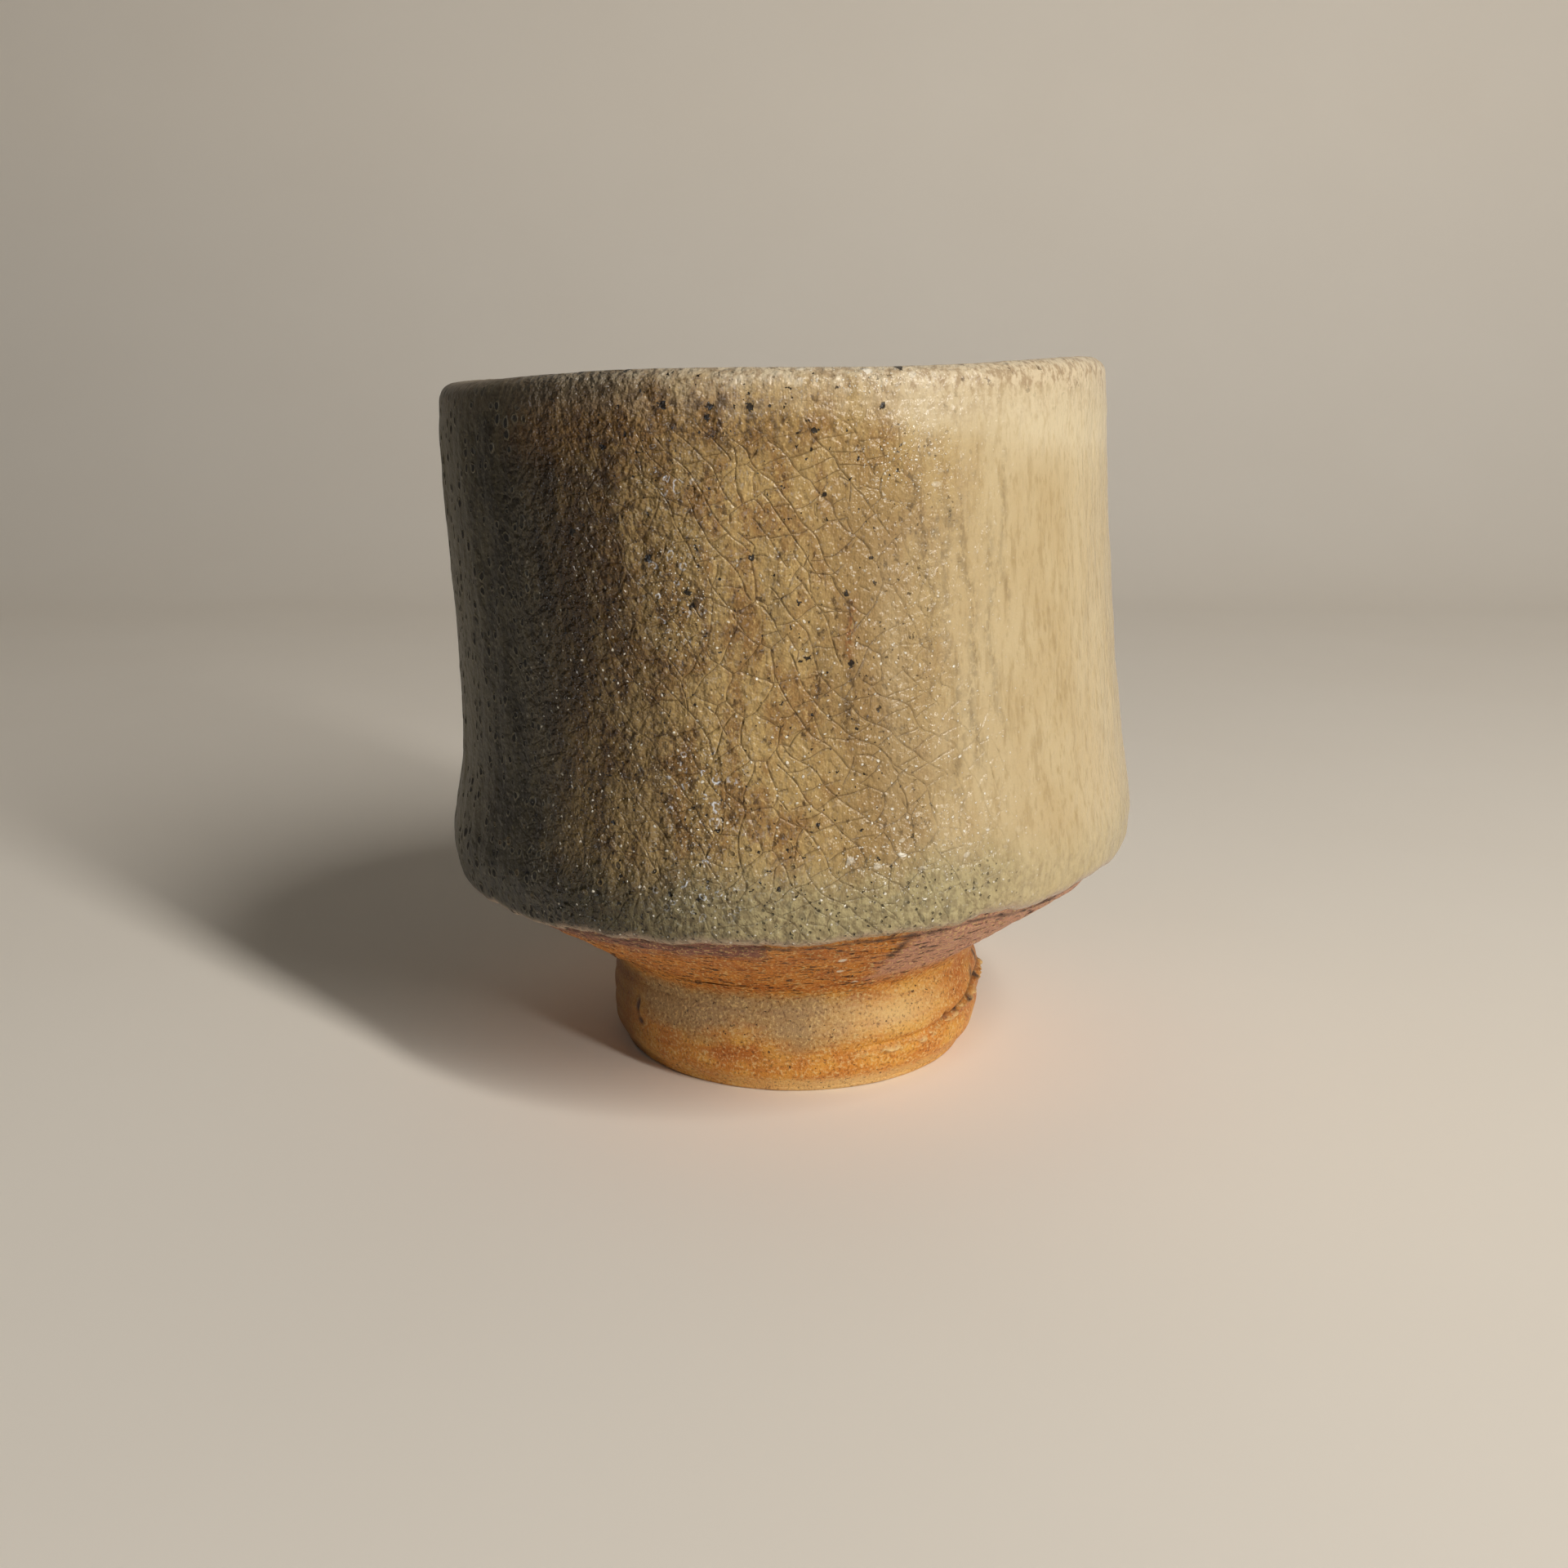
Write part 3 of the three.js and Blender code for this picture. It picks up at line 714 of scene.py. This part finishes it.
def glaze_marks(angle, height, from_edge, rim):
    """Where the glaze is amber, grey, pooled, pitted, crackled, streaked and specked, and where shade, glints
    and a lit edge are painted into its colour. Places are degrees from the front, to the right, or angles,
    and heights in millimetres."""
    front = np.degrees(turn_from(angle, FRONT))
    border = 20 + 5 * smooth(height, 66, 76) - 12 * smooth(height, 78, 83)
    border = border + 2.5 * waves(angle, height, 7.0, 70.0, 41)
    amber = span(front, border + 13, border - 10, -165, -120)
    amber = amber + 0.5 * smooth(np.abs(front), 120, 160)
    # The grey of the left and back, dark partly as painted shade
    grey = span(front, -32, -48, -176, -130)
    amber = np.clip(amber - 0.8 * grey, 0, 1)
    # Brown glaze and painted shade, growing towards the left, the side away from the key light
    dusk = smooth(front + 2.0 * waves(angle, height, 6.0, 40.0, 45), 0, -38) * smooth(front, -170, -80)
    dusk = dusk * (1 - 0.2 * smooth(height, 60, 42) * smooth(front, -44, -34))
    scorch = 0.8 * bump(height, 80.8, 2.8) * span(front, 18, -8, -50, -34) * (1 - rim)
    # Painted shade: a soft dark line along the groove under the lip
    scorch = scorch + 0.6 * bump(height, 83.3, 0.7) * span(front, 6, -4, -42, -34)
    pool_top = 6.6 + 0.8 * waves(angle, 0.0, 22.0, 9.0, 42) + 0.3 * waves(angle, 0.0, 5.0, 9.0, 43)
    thinner = 0.6 * span(front, 20, 42, 176, 130)
    pool = 0.9 * smooth(from_edge, pool_top + 4.5, pool_top - 3.0) * (1 - thinner)
    # Pool darker towards the left, the side away from the key light: deeper glaze and painted shade
    deep_and_shaded = span(front, 2, -34, -175, -120)
    ragged_front = front + 6.0 * waves(angle, height, 9.0, 12.0, 47)
    pitting = np.clip(0.9 * grey + 0.35 * pool, 0, 1) * smooth(ragged_front, -150, -75)
    toast = 0.8 * bump(front, 14, 10) * smooth(height, 86, 70)
    bloom = 0.8 * smooth(front, 30, 46) * bump(height, 79.5, 4.0)
    bloom = bloom + 0.6 * smooth(front, 4, 20) * bump(height, 82, 3) + 0.35 * smooth(front, 46, 60)
    # Its last term is a painted reflection: the far left edge of the wall lightened
    bloom = bloom * smooth(front, 130, 100) + 0.4 * span(front, -50, -72, -150, -90)
    bursting = bump(from_edge, 8.0, 3.5) * span(front, -62, -50, 14, -6)
    # Painted glints: white beads at the corner, below the lip and on the lip
    beads = bump(front, 18, 11) * bump(height, 35.8, 1.5) + 0.7 * bump(front, 20, 5) * bump(height, 75, 2.2)
    beads = beads + bump(front, 13, 9) * bump(height, 85.5, 1.0)
    # Where bluish glint rings are painted, in a column left of the front
    cool = 1.3 * bump(front, -14, 6) * (bump(height, 33.5, 3.5) + bump(height, 43, 4))
    cool = cool + 0.9 * bump(front, -16, 4) * (bump(height, 64, 6) + bump(height, 76, 3))
    gloss = bump(front, 20, 7) * bump(height, 77, 4) + bump(front, 17, 12) * bump(height, 35, 5)
    gloss = gloss + bump(front, -14, 5) * (bump(height, 64, 7) + bump(height, 43, 5) + bump(height, 33, 3))
    gloss = gloss + bump(front, 14, 10) * smooth(height, 83, 85)
    lower = smooth(height, 62, 44)
    crackle = span(front, 30 + 14 * lower, 10 + 8 * lower, -54, -34)
    crackle = crackle * smooth(height, 84, 78) * (1 - 0.2 * pool)
    # Where near-white dots are painted as glints, over small raised bubbles
    bubble_glints = span(front, -54, -26, 45, 25) * smooth(height, 84, 50)
    bubble_glints = bubble_glints + bump(front, 20, 6) * bump(height, 77, 3)
    streaks = sum(strength * streak(angle, height, *place) for strength, *place in STREAKS)
    between = 0.3 * span(front, 52, 34, 0, 24)
    rust = streak(angle, height, -80.6, 62, 57, 0.38)
    specks = patches(angle, height, SPECKS)
    thin = smooth(from_edge, 1.9, 0.5) * (1 - 0.6 * bump(front, 24, 16))
    coarse = 0.2 + 0.8 * amber + 0.8 * dusk + 0.2 * pool + 0.3 * rim + between
    marks = {
        "amber": amber, "grey": grey, "dusk": dusk, "scorch": scorch, "rim": rim, "toast": toast,
        "pool": pool, "deep_and_shaded_pool": deep_and_shaded, "thin": thin, "coarse": coarse, "crackle": crackle,
        "pitting": pitting * (1 - rim), "bloom": bloom, "bursting": bursting, "beads": beads, "cool": cool,
        "gloss": gloss, "bubble_glints": bubble_glints, "streaks": np.clip(streaks, 0, 1) * (1 - rim), "rust": rust,
        "specks": specks,
    }
    return {name: np.clip(values, 0, 1) for name, values in marks.items()}


def rim_share(angle, run):
    """How far the glaze has turned into the pale one of the lip: a wandering border, higher at the front."""
    front = np.degrees(turn_from(angle, FRONT))
    higher = 1.5 * span(front, 28, 6, -175, -120)
    past = run - STATION["band_out"] - higher + 0.5 * waves(angle, run, 5.0, 5.0, 25)
    return 0.5 * smooth(past, -3.5, 0.5) + 0.5 * smooth(past, 0.0, 1.4)


def outer_coat():
    """Outer glaze: its face from the rolled edge under the corner up to the pale band, a strip that dives
    under that band, then back along the clay. Relief: lumps, upright runs, shallow throwing rings and burst
    bubbles."""
    angle = angles_round(600)[None, :]
    share = np.linspace(0, 1, 145)[:, None]
    start = glaze_edge(angle)
    end = STATION["band_out"]
    run = start + (end - start) * (0.75 * share + 0.25 * share**2)
    _, height = on_clay(run, 0)
    from_edge = run - start
    to_rim = smooth(end - run, 2.5, 0)
    thick = outer_thickness(from_edge) * (1 - to_rim) + RIM_GLAZE * to_rim
    lumps = 0.035 * waves(angle, height, 14.0, 16.0, 21) + 0.018 * waves(angle, height, 3.2, 4.5, 22)
    front = np.degrees(turn_from(angle, FRONT))
    shaded = span(front, -30, -55, -175, -130)
    ribs = (0.02 + 0.03 * shaded) * waves(angle, height, 3.2, 60.0, 23)
    rings = 0.03 * np.cos(height * math.tau / 9.0 + 0.8 * np.sin(angle))
    relief = (lumps + ribs + rings - 0.17) * smooth(from_edge, 0.5, 4) * (1 - to_rim)
    craters = patches(angle, height, BURST_BUBBLES)
    dive = run[-1:] + SEAM_DIVE
    back = run[::-9]
    runs = np.concatenate([run, dive, back])
    face = SEAM + thick + relief - 0.22 * craters
    under_rim = np.full(dive.shape, SEAM + RIM_GLAZE - SEAM_DROP)
    lift = np.concatenate([face, under_rim, np.full(back.shape, SEAM)])
    angle_all = np.broadcast_to(angle, runs.shape)
    places = shaped(*on_clay(runs, lift), angle_all)
    _, heights = on_clay(runs, 0)
    marks = glaze_marks(angle_all, heights, runs - start, rim_share(angle, runs))
    # The burst craters also get the black of the specks: painted shade in their hollows
    marks["specks"][:len(run)] = np.clip(marks["specks"][:len(run)] + 0.8 * craters, 0, 1)
    sharp = (len(run) - 1, len(run), -1)
    return turned_mesh("outer_coat", places, angle, runs, marks, closed=True, flat_rows=sharp)


def rim_coat():
    """Thin glaze over the lip, from the outer glaze's upper edge to the liner. Both ends dive under those."""
    angle = angles_round(720)[None, :]
    face = np.linspace(STATION["band_out"], STATION["band_in"], 60)[:, None] + 0 * angle
    inner_share = smooth(face, STATION["band_in"] - 1.5, STATION["band_in"])
    outer_share = smooth(face, STATION["band_out"] + 1.5, STATION["band_out"])
    relief = (0.015 * waves(angle, face, 4.0, 4.0, 24) - 0.1) * (1 - inner_share) * (1 - outer_share)
    thick = RIM_GLAZE + (INNER_GLAZE - RIM_GLAZE) * inner_share + relief
    run = np.concatenate([face[:1] - SEAM_DIVE, face, face[-1:] + SEAM_DIVE])
    thick = np.concatenate([thick[:1] - SEAM_DROP, thick, thick[-1:] - SEAM_DROP])
    back = face[::-4]
    runs = np.concatenate([run, back])
    lift = np.concatenate([SEAM + thick, np.full(back.shape, SEAM)])
    angle_all = np.broadcast_to(angle, runs.shape)
    places = shaped(*on_clay(runs, lift), angle_all)
    _, heights = on_clay(runs, 0)
    marks = glaze_marks(angle_all, heights, FAR_ABOVE_EDGE + 0 * runs, rim_share(angle, runs))
    outside = smooth(runs, STATION["lip_top"] + 0.4, STATION["lip_top"] - 0.4)
    marks["specks"] = marks["specks"] * outside
    marks["beads"] = marks["beads"] * outside
    sharp = (0, len(run) - 2, len(run) - 1, -1)
    return turned_mesh("rim_coat", places, angle, runs, marks, closed=True, flat_rows=sharp)


def liner():
    """Inner glaze: its back from the middle of the floor up along the clay, a strip that comes out from under
    the lip's glaze, then its face down to the middle."""
    angle = angles_round(360, 0.0)[None, :]
    face = np.linspace(STATION["band_in"], STATION["floor_middle"], 170)[:, None] + 0 * angle
    back = face[::-8]
    dive = face[:1] - SEAM_DIVE
    runs = np.concatenate([back, dive, face])
    _, heights = on_clay(face, 0)
    relief = 0.06 * np.cos(heights * math.tau / 8.0 + angle)
    relief = relief * smooth(heights, 21, 30) * smooth(heights, 84, 78)
    under_rim = np.full(dive.shape, SEAM + INNER_GLAZE - SEAM_DROP)
    lift = np.concatenate([np.full(back.shape, SEAM), under_rim, SEAM + INNER_GLAZE + relief])
    angle_all = np.broadcast_to(angle, runs.shape)
    radius, height = on_clay(runs, lift)
    places = shaped(radius, height, angle_all)
    pool = smooth(height, 30, 21)
    marks = glaze_marks(angle_all, height, FAR_ABOVE_EDGE + 0 * runs, smooth(height, 80, 84))
    marks["pool"] = 0.8 * pool
    marks["deep_and_shaded_pool"] = 0.4 + 0 * pool
    marks["amber"] = 0.4 * (1 - pool)
    marks["coarse"] = 0.4 + 0 * pool
    marks["crackle"] = 0.7 * (1 - marks["rim"])
    outside_only = "grey dusk pitting scorch toast gloss bloom bursting beads cool streaks rust specks"
    for name in outside_only.split():
        marks[name] = 0 * pool
    sharp = (len(back) - 1, len(back))
    return turned_mesh("liner", places, angle, runs, marks, closed=False, flat_rows=sharp)


# Burnt spots on the foot: degrees round, height, half-width and half-height
BURNT_SPOTS = (
    (-15, 8.6, 0.7, 0.7), (-26.3, 7.3, 0.5, 0.5), (-20, 9.6, 0.6, 0.8), (-33.8, 7.1, 0.4, 0.4),
    (-10, 10.6, 0.7, 1.2), (-144, 6.2, 0.6, 0.5),
)


def clay_marks(angle, height, radius, foot, below_glaze=FAR_BELOW_EDGE):
    """Where bare clay is torn, purple, mauve, olive, pale, flashed, stained and gritty, and where highlight
    and shade are painted. Places are degrees from the front or angles, heights in millimetres and distances
    below the glaze's edge."""
    front = np.degrees(turn_from(angle, FRONT))
    none = 0 * (angle + height)
    under = (1 - foot) * smooth(radius, NECK_RADIUS - 0.5, NECK_RADIUS + 1) + none
    uneven = waves(angle, below_glaze + none, 6.0, 4.0, 46, UNDER_RADIUS)
    purple = 0.95 * under * smooth(below_glaze + none + 0.8 * uneven, 8.0, 3.0)
    purple = purple * span(front, -3.8, -6.4, -176, -140)
    mauve = under * smooth(front + 0.8 * uneven, 15, 21) * smooth(height, 13, 17) * smooth(front, 176, 140)
    # Painted shadow: a dark line on the clay just under the rolled edge of the glaze
    shadow_under_glaze = (0.75 + 0.25 * uneven) * under * bump(below_glaze + none, 1.6, 0.5)
    tongue = 0.85 * under * patch(angle, height, -72, 23.5, 0.6, 3.0, UNDER_RADIUS)
    edge = 0.5 * under * patch(angle, height, -95.2, 24.6, 0.25, 2.0, UNDER_RADIUS)
    grit = patch(angle, height, -81.5, 21.6, 0.6, 0.35, 36)
    grit = grit + patch(angle, height, -80.5, 18.7, 0.5, 0.3, 32)
    grit = under * (grit + patch(angle, height, -74.5, 15.1, 0.6, 0.3, 27))
    drift = waves(angle, height, 12.0, 5.0, 44, FOOT_SIDE_RADIUS)
    olive = foot * span(front, -78, -40, 34, 0) * smooth(height + 0.6 * drift, 4.0, 10.5)
    # Painted highlight: a pale patch on the foot's side that faces the key light; the pale line at the base
    # is scuffing
    pale = 0.75 * foot * bump(front, 30, 17) * bump(height + 0.3 * drift, 9.8, 2.2)
    pale = pale + 0.75 * foot * bump(front, 14, 30) * smooth(height, 2.6, 1.2)
    flash = 0.95 * foot * bump(front, -18, 26) * bump(height + 0.4 * drift, 5.2, 1.3)
    flash = flash + 0.8 * foot * span(front, 42, 60, 176, 140) * smooth(height, 3, 6)
    # Painted shade: the left side of the foot, away from the key light, darkened
    shade = 0.65 * foot * span(front, -42, -66, -150, -110)
    burnt = 0.9 * foot * patches(angle, height, BURNT_SPOTS, FOOT_SIDE_RADIUS)
    return {
        "torn": np.clip(under, 0, 1), "purple": purple, "mauve": mauve, "olive": np.clip(olive, 0, 1),
        "pale": np.clip(pale, 0, 1), "flash": np.clip(flash, 0, 1), "grit": grit, "foot": foot + none,
        "stain_and_shade": np.clip(shadow_under_glaze + tongue + edge + shade + burnt, 0, 1),
    }


def bowl_clay():
    """The bowl itself: the hollow under its floor with a trimmed spiral, the torn underside, then the clay
    under the glaze, over the lip and down to the middle of the floor."""
    angle = angles_round(480)[None, :]
    share = np.linspace(0, 1, 24)[:, None]
    recess_r = NECK_RADIUS * share + 0 * angle
    dome = RECESS_DOME * (1 - smooth(recess_r, 2, RECESS_RADIUS))
    spiral = 0.12 * np.cos(recess_r * math.tau / 2.2 - angle)
    spiral = spiral * smooth(recess_r, 1, 4) * smooth(recess_r, 15, 12)
    recess_z = SEAT_HEIGHT + dome + spiral
    bare = np.linspace(0.25, STATION["wall_foot"] - GLAZE_LAP + 2.2, 96)[:, None] + 0 * angle
    hidden = np.linspace(bare[-1, 0] + 0.5, STATION["floor_middle"], 60)[:, None] + 0 * angle
    runs = np.concatenate([bare, hidden])
    tears = 0.07 * waves(angle, bare, 26.0, 1.6, 51, TEAR_RADIUS)
    tears = tears + 0.05 * waves(angle, bare, 8.0, 0.9, 52, TEAR_RADIUS)
    tears = (tears - 0.1) * smooth(bare, 0.3, 1.5) * smooth(bare[-1, 0] - bare, 1.6, 3.2)
    lift = np.concatenate([tears, np.zeros(hidden.shape)])
    r, z = on_clay(runs, lift)
    r = np.concatenate([recess_r, r])
    z = np.concatenate([recess_z, z])
    angle_all = np.broadcast_to(angle, r.shape)
    along = np.concatenate([recess_r - NECK_RADIUS, runs])
    marks = clay_marks(angle_all, z, r, 0.0, glaze_edge(angle) - along)
    return turned_mesh("bowl_clay", shaped(r, z, angle_all), angle, along, marks, closed=False)


def foot_clay():
    """The foot ring: flat base, thrown side with a climbing groove, a fold and a pit, top, tapered inside."""
    angle = angles_round(600)[None, :]
    side = bezier(
        (FOOT_BASE_RADIUS, FOOT_EDGE),
        (FOOT_BELLY_RADIUS, FOOT_TOP * FOOT_BELLY_LOW_SHARE),
        (FOOT_BELLY_RADIUS, FOOT_TOP * FOOT_BELLY_HIGH_SHARE),
        (NECK_RADIUS, FOOT_TOP),
        90,
    )
    corner = np.linspace(0, math.pi / 2, 8)[:-1]
    edge_r = FOOT_BASE_RADIUS - FOOT_EDGE * (1 - np.sin(corner))
    edge_z = FOOT_EDGE * (1 - np.cos(corner))
    edge = np.stack([edge_r, edge_z], 1)
    base = np.linspace((FOOT_INNER_RADIUS + FOOT_EDGE, 0), edge[0], 12)[:-1]
    top = np.linspace((NECK_RADIUS, FOOT_TOP), (RECESS_RADIUS, FOOT_TOP), 8)[1:]
    inside = np.linspace((RECESS_RADIUS, FOOT_TOP), (FOOT_INNER_RADIUS, FOOT_EDGE), 16)[1:]
    profile = np.concatenate([base, edge, side, top, inside])
    r = profile[:, :1] + 0 * angle
    z = profile[:, 1:] + 0 * angle
    outside = np.zeros(len(profile))
    outside[len(base) + 3:len(base) + len(edge) + len(side)] = 1
    outside = outside[:, None] * smooth(FOOT_TOP - z, 0, 0.8)
    turn = turn_from(angle, GROOVE_ANGLE)
    groove_height = GROOVE_HEIGHT + GROOVE_CLIMB * turn / math.tau
    groove = GROOVE_DEPTH * (1 + np.cos(turn)) / 2 * bump(z, groove_height, GROOVE_WIDTH)
    rings = 0.06 * np.cos(z * math.tau / 2.6 + 0.6 * np.sin(angle))
    beside = smooth(turn, -0.62, -0.45) * smooth(turn, 1.2, 0.7)
    lip_height = 5.4 + 3.2 * smooth(turn, -0.2, 0.52)
    lumpy = np.clip(0.5 + waves(angle, z, 2.2, 1.6, 62, FOOT_SIDE_RADIUS), 0, 1.4)
    crumbs = beside * lumpy * bump(z, lip_height - 0.35, 0.4)
    undercut = beside * bump(z, lip_height + 0.45, 0.35)
    hand = 0.05 * waves(angle, z, 14.0, 6.0, 61, FOOT_SIDE_RADIUS)
    fold = 0.45 * patch(angle, z, -145.5, 8.2, 0.4, 1.3, FOOT_SIDE_RADIUS)
    pit = 0.5 * patch(angle, z, -39.2, 6.9, 0.5, 0.45, FOOT_SIDE_RADIUS)
    r = r + outside * (rings + hand + 0.4 * crumbs - 0.35 * undercut - groove - fold - pit - 0.1)
    marks = clay_marks(np.broadcast_to(angle, r.shape), z, r, 1.0)
    # Painted shade: the undercut under the groove's lip, the fold and the pit darkened
    undercut_shade = 0.5 * undercut * smooth(turn, -0.15, 0.1)
    marks["stain_and_shade"] = np.clip(marks["stain_and_shade"] + 1.8 * fold + 1.6 * pit + undercut_shade, 0, 1)
    marks["pale"] = np.clip(marks["pale"] + 0.6 * outside * crumbs, 0, 1)
    along = np.concatenate([[0], np.cumsum(np.hypot(*np.diff(profile, axis=0).T))])[:, None] + 0 * angle
    return turned_mesh("foot_clay", shaped(r, z, angle), angle, along, marks, closed=True)


def joint_slip():
    """The bed of slip between bowl and foot, smoothed by a finger into a hollow fillet: a cubic from the
    foot's side round to the underside, whose two ends sink into the clay, with crumbs along it."""
    angle = angles_round(600)[None, :]
    half = SLIP_THICKNESS / 2
    middle = SEAT_HEIGHT - SEAM - half
    run = FILLET_REACH * math.cos(UNDERSIDE_SLOPE)
    climb = FILLET_REACH * math.sin(UNDERSIDE_SLOPE)
    foot_end = (NECK_RADIUS + 0.45, middle - FILLET_REACH)
    crease = (NECK_RADIUS + 0.3, middle)
    bowl_end = (NECK_RADIUS + run, SEAT_HEIGHT + climb + 0.1)
    hollow = bezier(foot_end, crease, crease, bowl_end, 24)
    level = hollow[:, 1:]
    crumbs = 0.05 * waves(angle, level, 2.2, 1.4, 71, SLIP_RADIUS)
    crumbs = crumbs + 0.05 * waves(angle, level, 8.0, 3.0, 72)
    fade = np.sin(np.linspace(0, math.pi, 24))[:, None]
    outer_r = hollow[:, :1] + fade * crumbs
    outer_z = level + 0 * angle
    inner_r = np.array([[NECK_RADIUS], [RECESS_RADIUS], [RECESS_RADIUS], [NECK_RADIUS]]) + 0 * angle
    inner_z = middle + half * np.array([[1], [1], [-1], [-1]]) + 0 * angle
    r = np.concatenate([outer_r, inner_r])
    z = np.concatenate([outer_z, inner_z])
    marks = clay_marks(np.broadcast_to(angle, r.shape), z, r, smooth(z, 14.8, 11.6))
    return turned_mesh("joint_slip", shaped(r, z, angle), angle, z, marks, closed=True)


glaze = ash_glaze()
clay = flashed_clay()
dress("glaze_outside", outer_coat(), "outer_glaze", glaze)
dress("glaze_rim", rim_coat(), "rim_glaze", glaze)
dress("glaze_inside", liner(), "inner_glaze", glaze)
dress("clay_bowl", bowl_clay(), "bowl_body", clay)
dress("clay_foot", foot_clay(), "foot_ring", clay)
dress("slip_joint", joint_slip(), "luting_slip", clay)


# Floor and backdrop in one sweep

FLOOR_LIGHT = paint(249, 242, 231)
FLOOR_SHADE = paint(246, 238, 226)


def sweep():
    """A floor that bends up into a backdrop: a straight, a quarter circle and a straight, drawn sideways."""
    front = -1.5
    bend_start = 0.42
    bend = 0.22
    top = 1.8
    half_width = 2.0
    turn = np.linspace(0, math.pi / 2, 24)
    profile = np.concatenate([
        [[front, 0]],
        np.stack([bend_start + bend * np.sin(turn), bend - bend * np.cos(turn)], 1),
        [[bend_start + bend, top]],
    ])
    rows = len(profile)
    across = np.tile([-half_width, half_width], rows)
    points = np.column_stack([across, np.repeat(profile, 2, axis=0)])
    corner = 2 * np.arange(rows - 1)
    faces = np.stack([corner, corner + 1, corner + 3, corner + 2], 1)
    mesh = bpy.data.meshes.new("sweep")
    mesh.from_pydata(points.tolist(), [], faces.tolist())
    mesh.polygons.foreach_set("use_smooth", np.ones(rows - 1, bool))
    f = Finish("sweep")
    colour = f.mix(f.noise(f.place(), 60.0), FLOOR_LIGHT, FLOOR_SHADE)
    mesh.materials.append(f.close(colour, 0.9, 0.0))
    stage = add_object("sweep", mesh)


sweep()


# Light: a tall warm window to the right, a thin cool one to the front left, and a little from all round

AIM = (0, 0, 0.05)


def window(name, degrees, distance, middle_height, width, height, power, colour):
    """An upright soft light that stands round the bowl at an angle and faces its middle."""
    light = bpy.data.lights.new(name, "AREA")
    light.shape = "RECTANGLE"
    light.size = width
    light.size_y = height
    light.energy = power
    light.color = colour
    lamp = add_object(name, light)
    turn = math.radians(degrees)
    lamp.location = (distance * math.cos(turn), distance * math.sin(turn), middle_height)
    aim = np.array(AIM) - np.array(lamp.location)
    tilt = math.atan2(math.hypot(aim[0], aim[1]), -aim[2])
    lamp.rotation_euler = (tilt, 0, math.atan2(aim[1], aim[0]) - math.pi / 2)
    return lamp


window(
    "key", degrees=-48, distance=0.75, middle_height=0.57, width=0.09, height=0.72, power=7.6,
    colour=(1.0, 0.965, 0.91),
)
glint = window(
    "cool_glint", degrees=-117, distance=0.6, middle_height=0.3, width=0.03, height=0.45, power=1.3,
    colour=(0.78, 0.87, 1.0),
)
glint.visible_diffuse = False
ROOM_COLOUR = (0.9, 0.95, 1.0, 1.0)
ROOM_LIGHT = 0.03
world = bpy.data.worlds.new("room")
world.use_nodes = True
world.node_tree.nodes["Background"].inputs["Color"].default_value = ROOM_COLOUR
world.node_tree.nodes["Background"].inputs["Strength"].default_value = ROOM_LIGHT
bpy.context.scene.world = world
bpy.context.scene.view_settings.view_transform = "Standard"

# Camera: a phone held close, level with the rim and tipped down
CAMERA_PLACE = (-0.0009, -0.205, 0.0847)
CAMERA_PITCH = 14.0
LENS = 36.5625
SENSOR = 36.0
NEAREST = 0.01
camera = bpy.data.cameras.new("camera")
camera.lens = LENS
camera.sensor_width = SENSOR
camera.clip_start = NEAREST
viewer = add_object("camera", camera)
viewer.location = CAMERA_PLACE
viewer.rotation_euler = (math.radians(90 - CAMERA_PITCH), 0, 0)
bpy.context.scene.camera = viewer
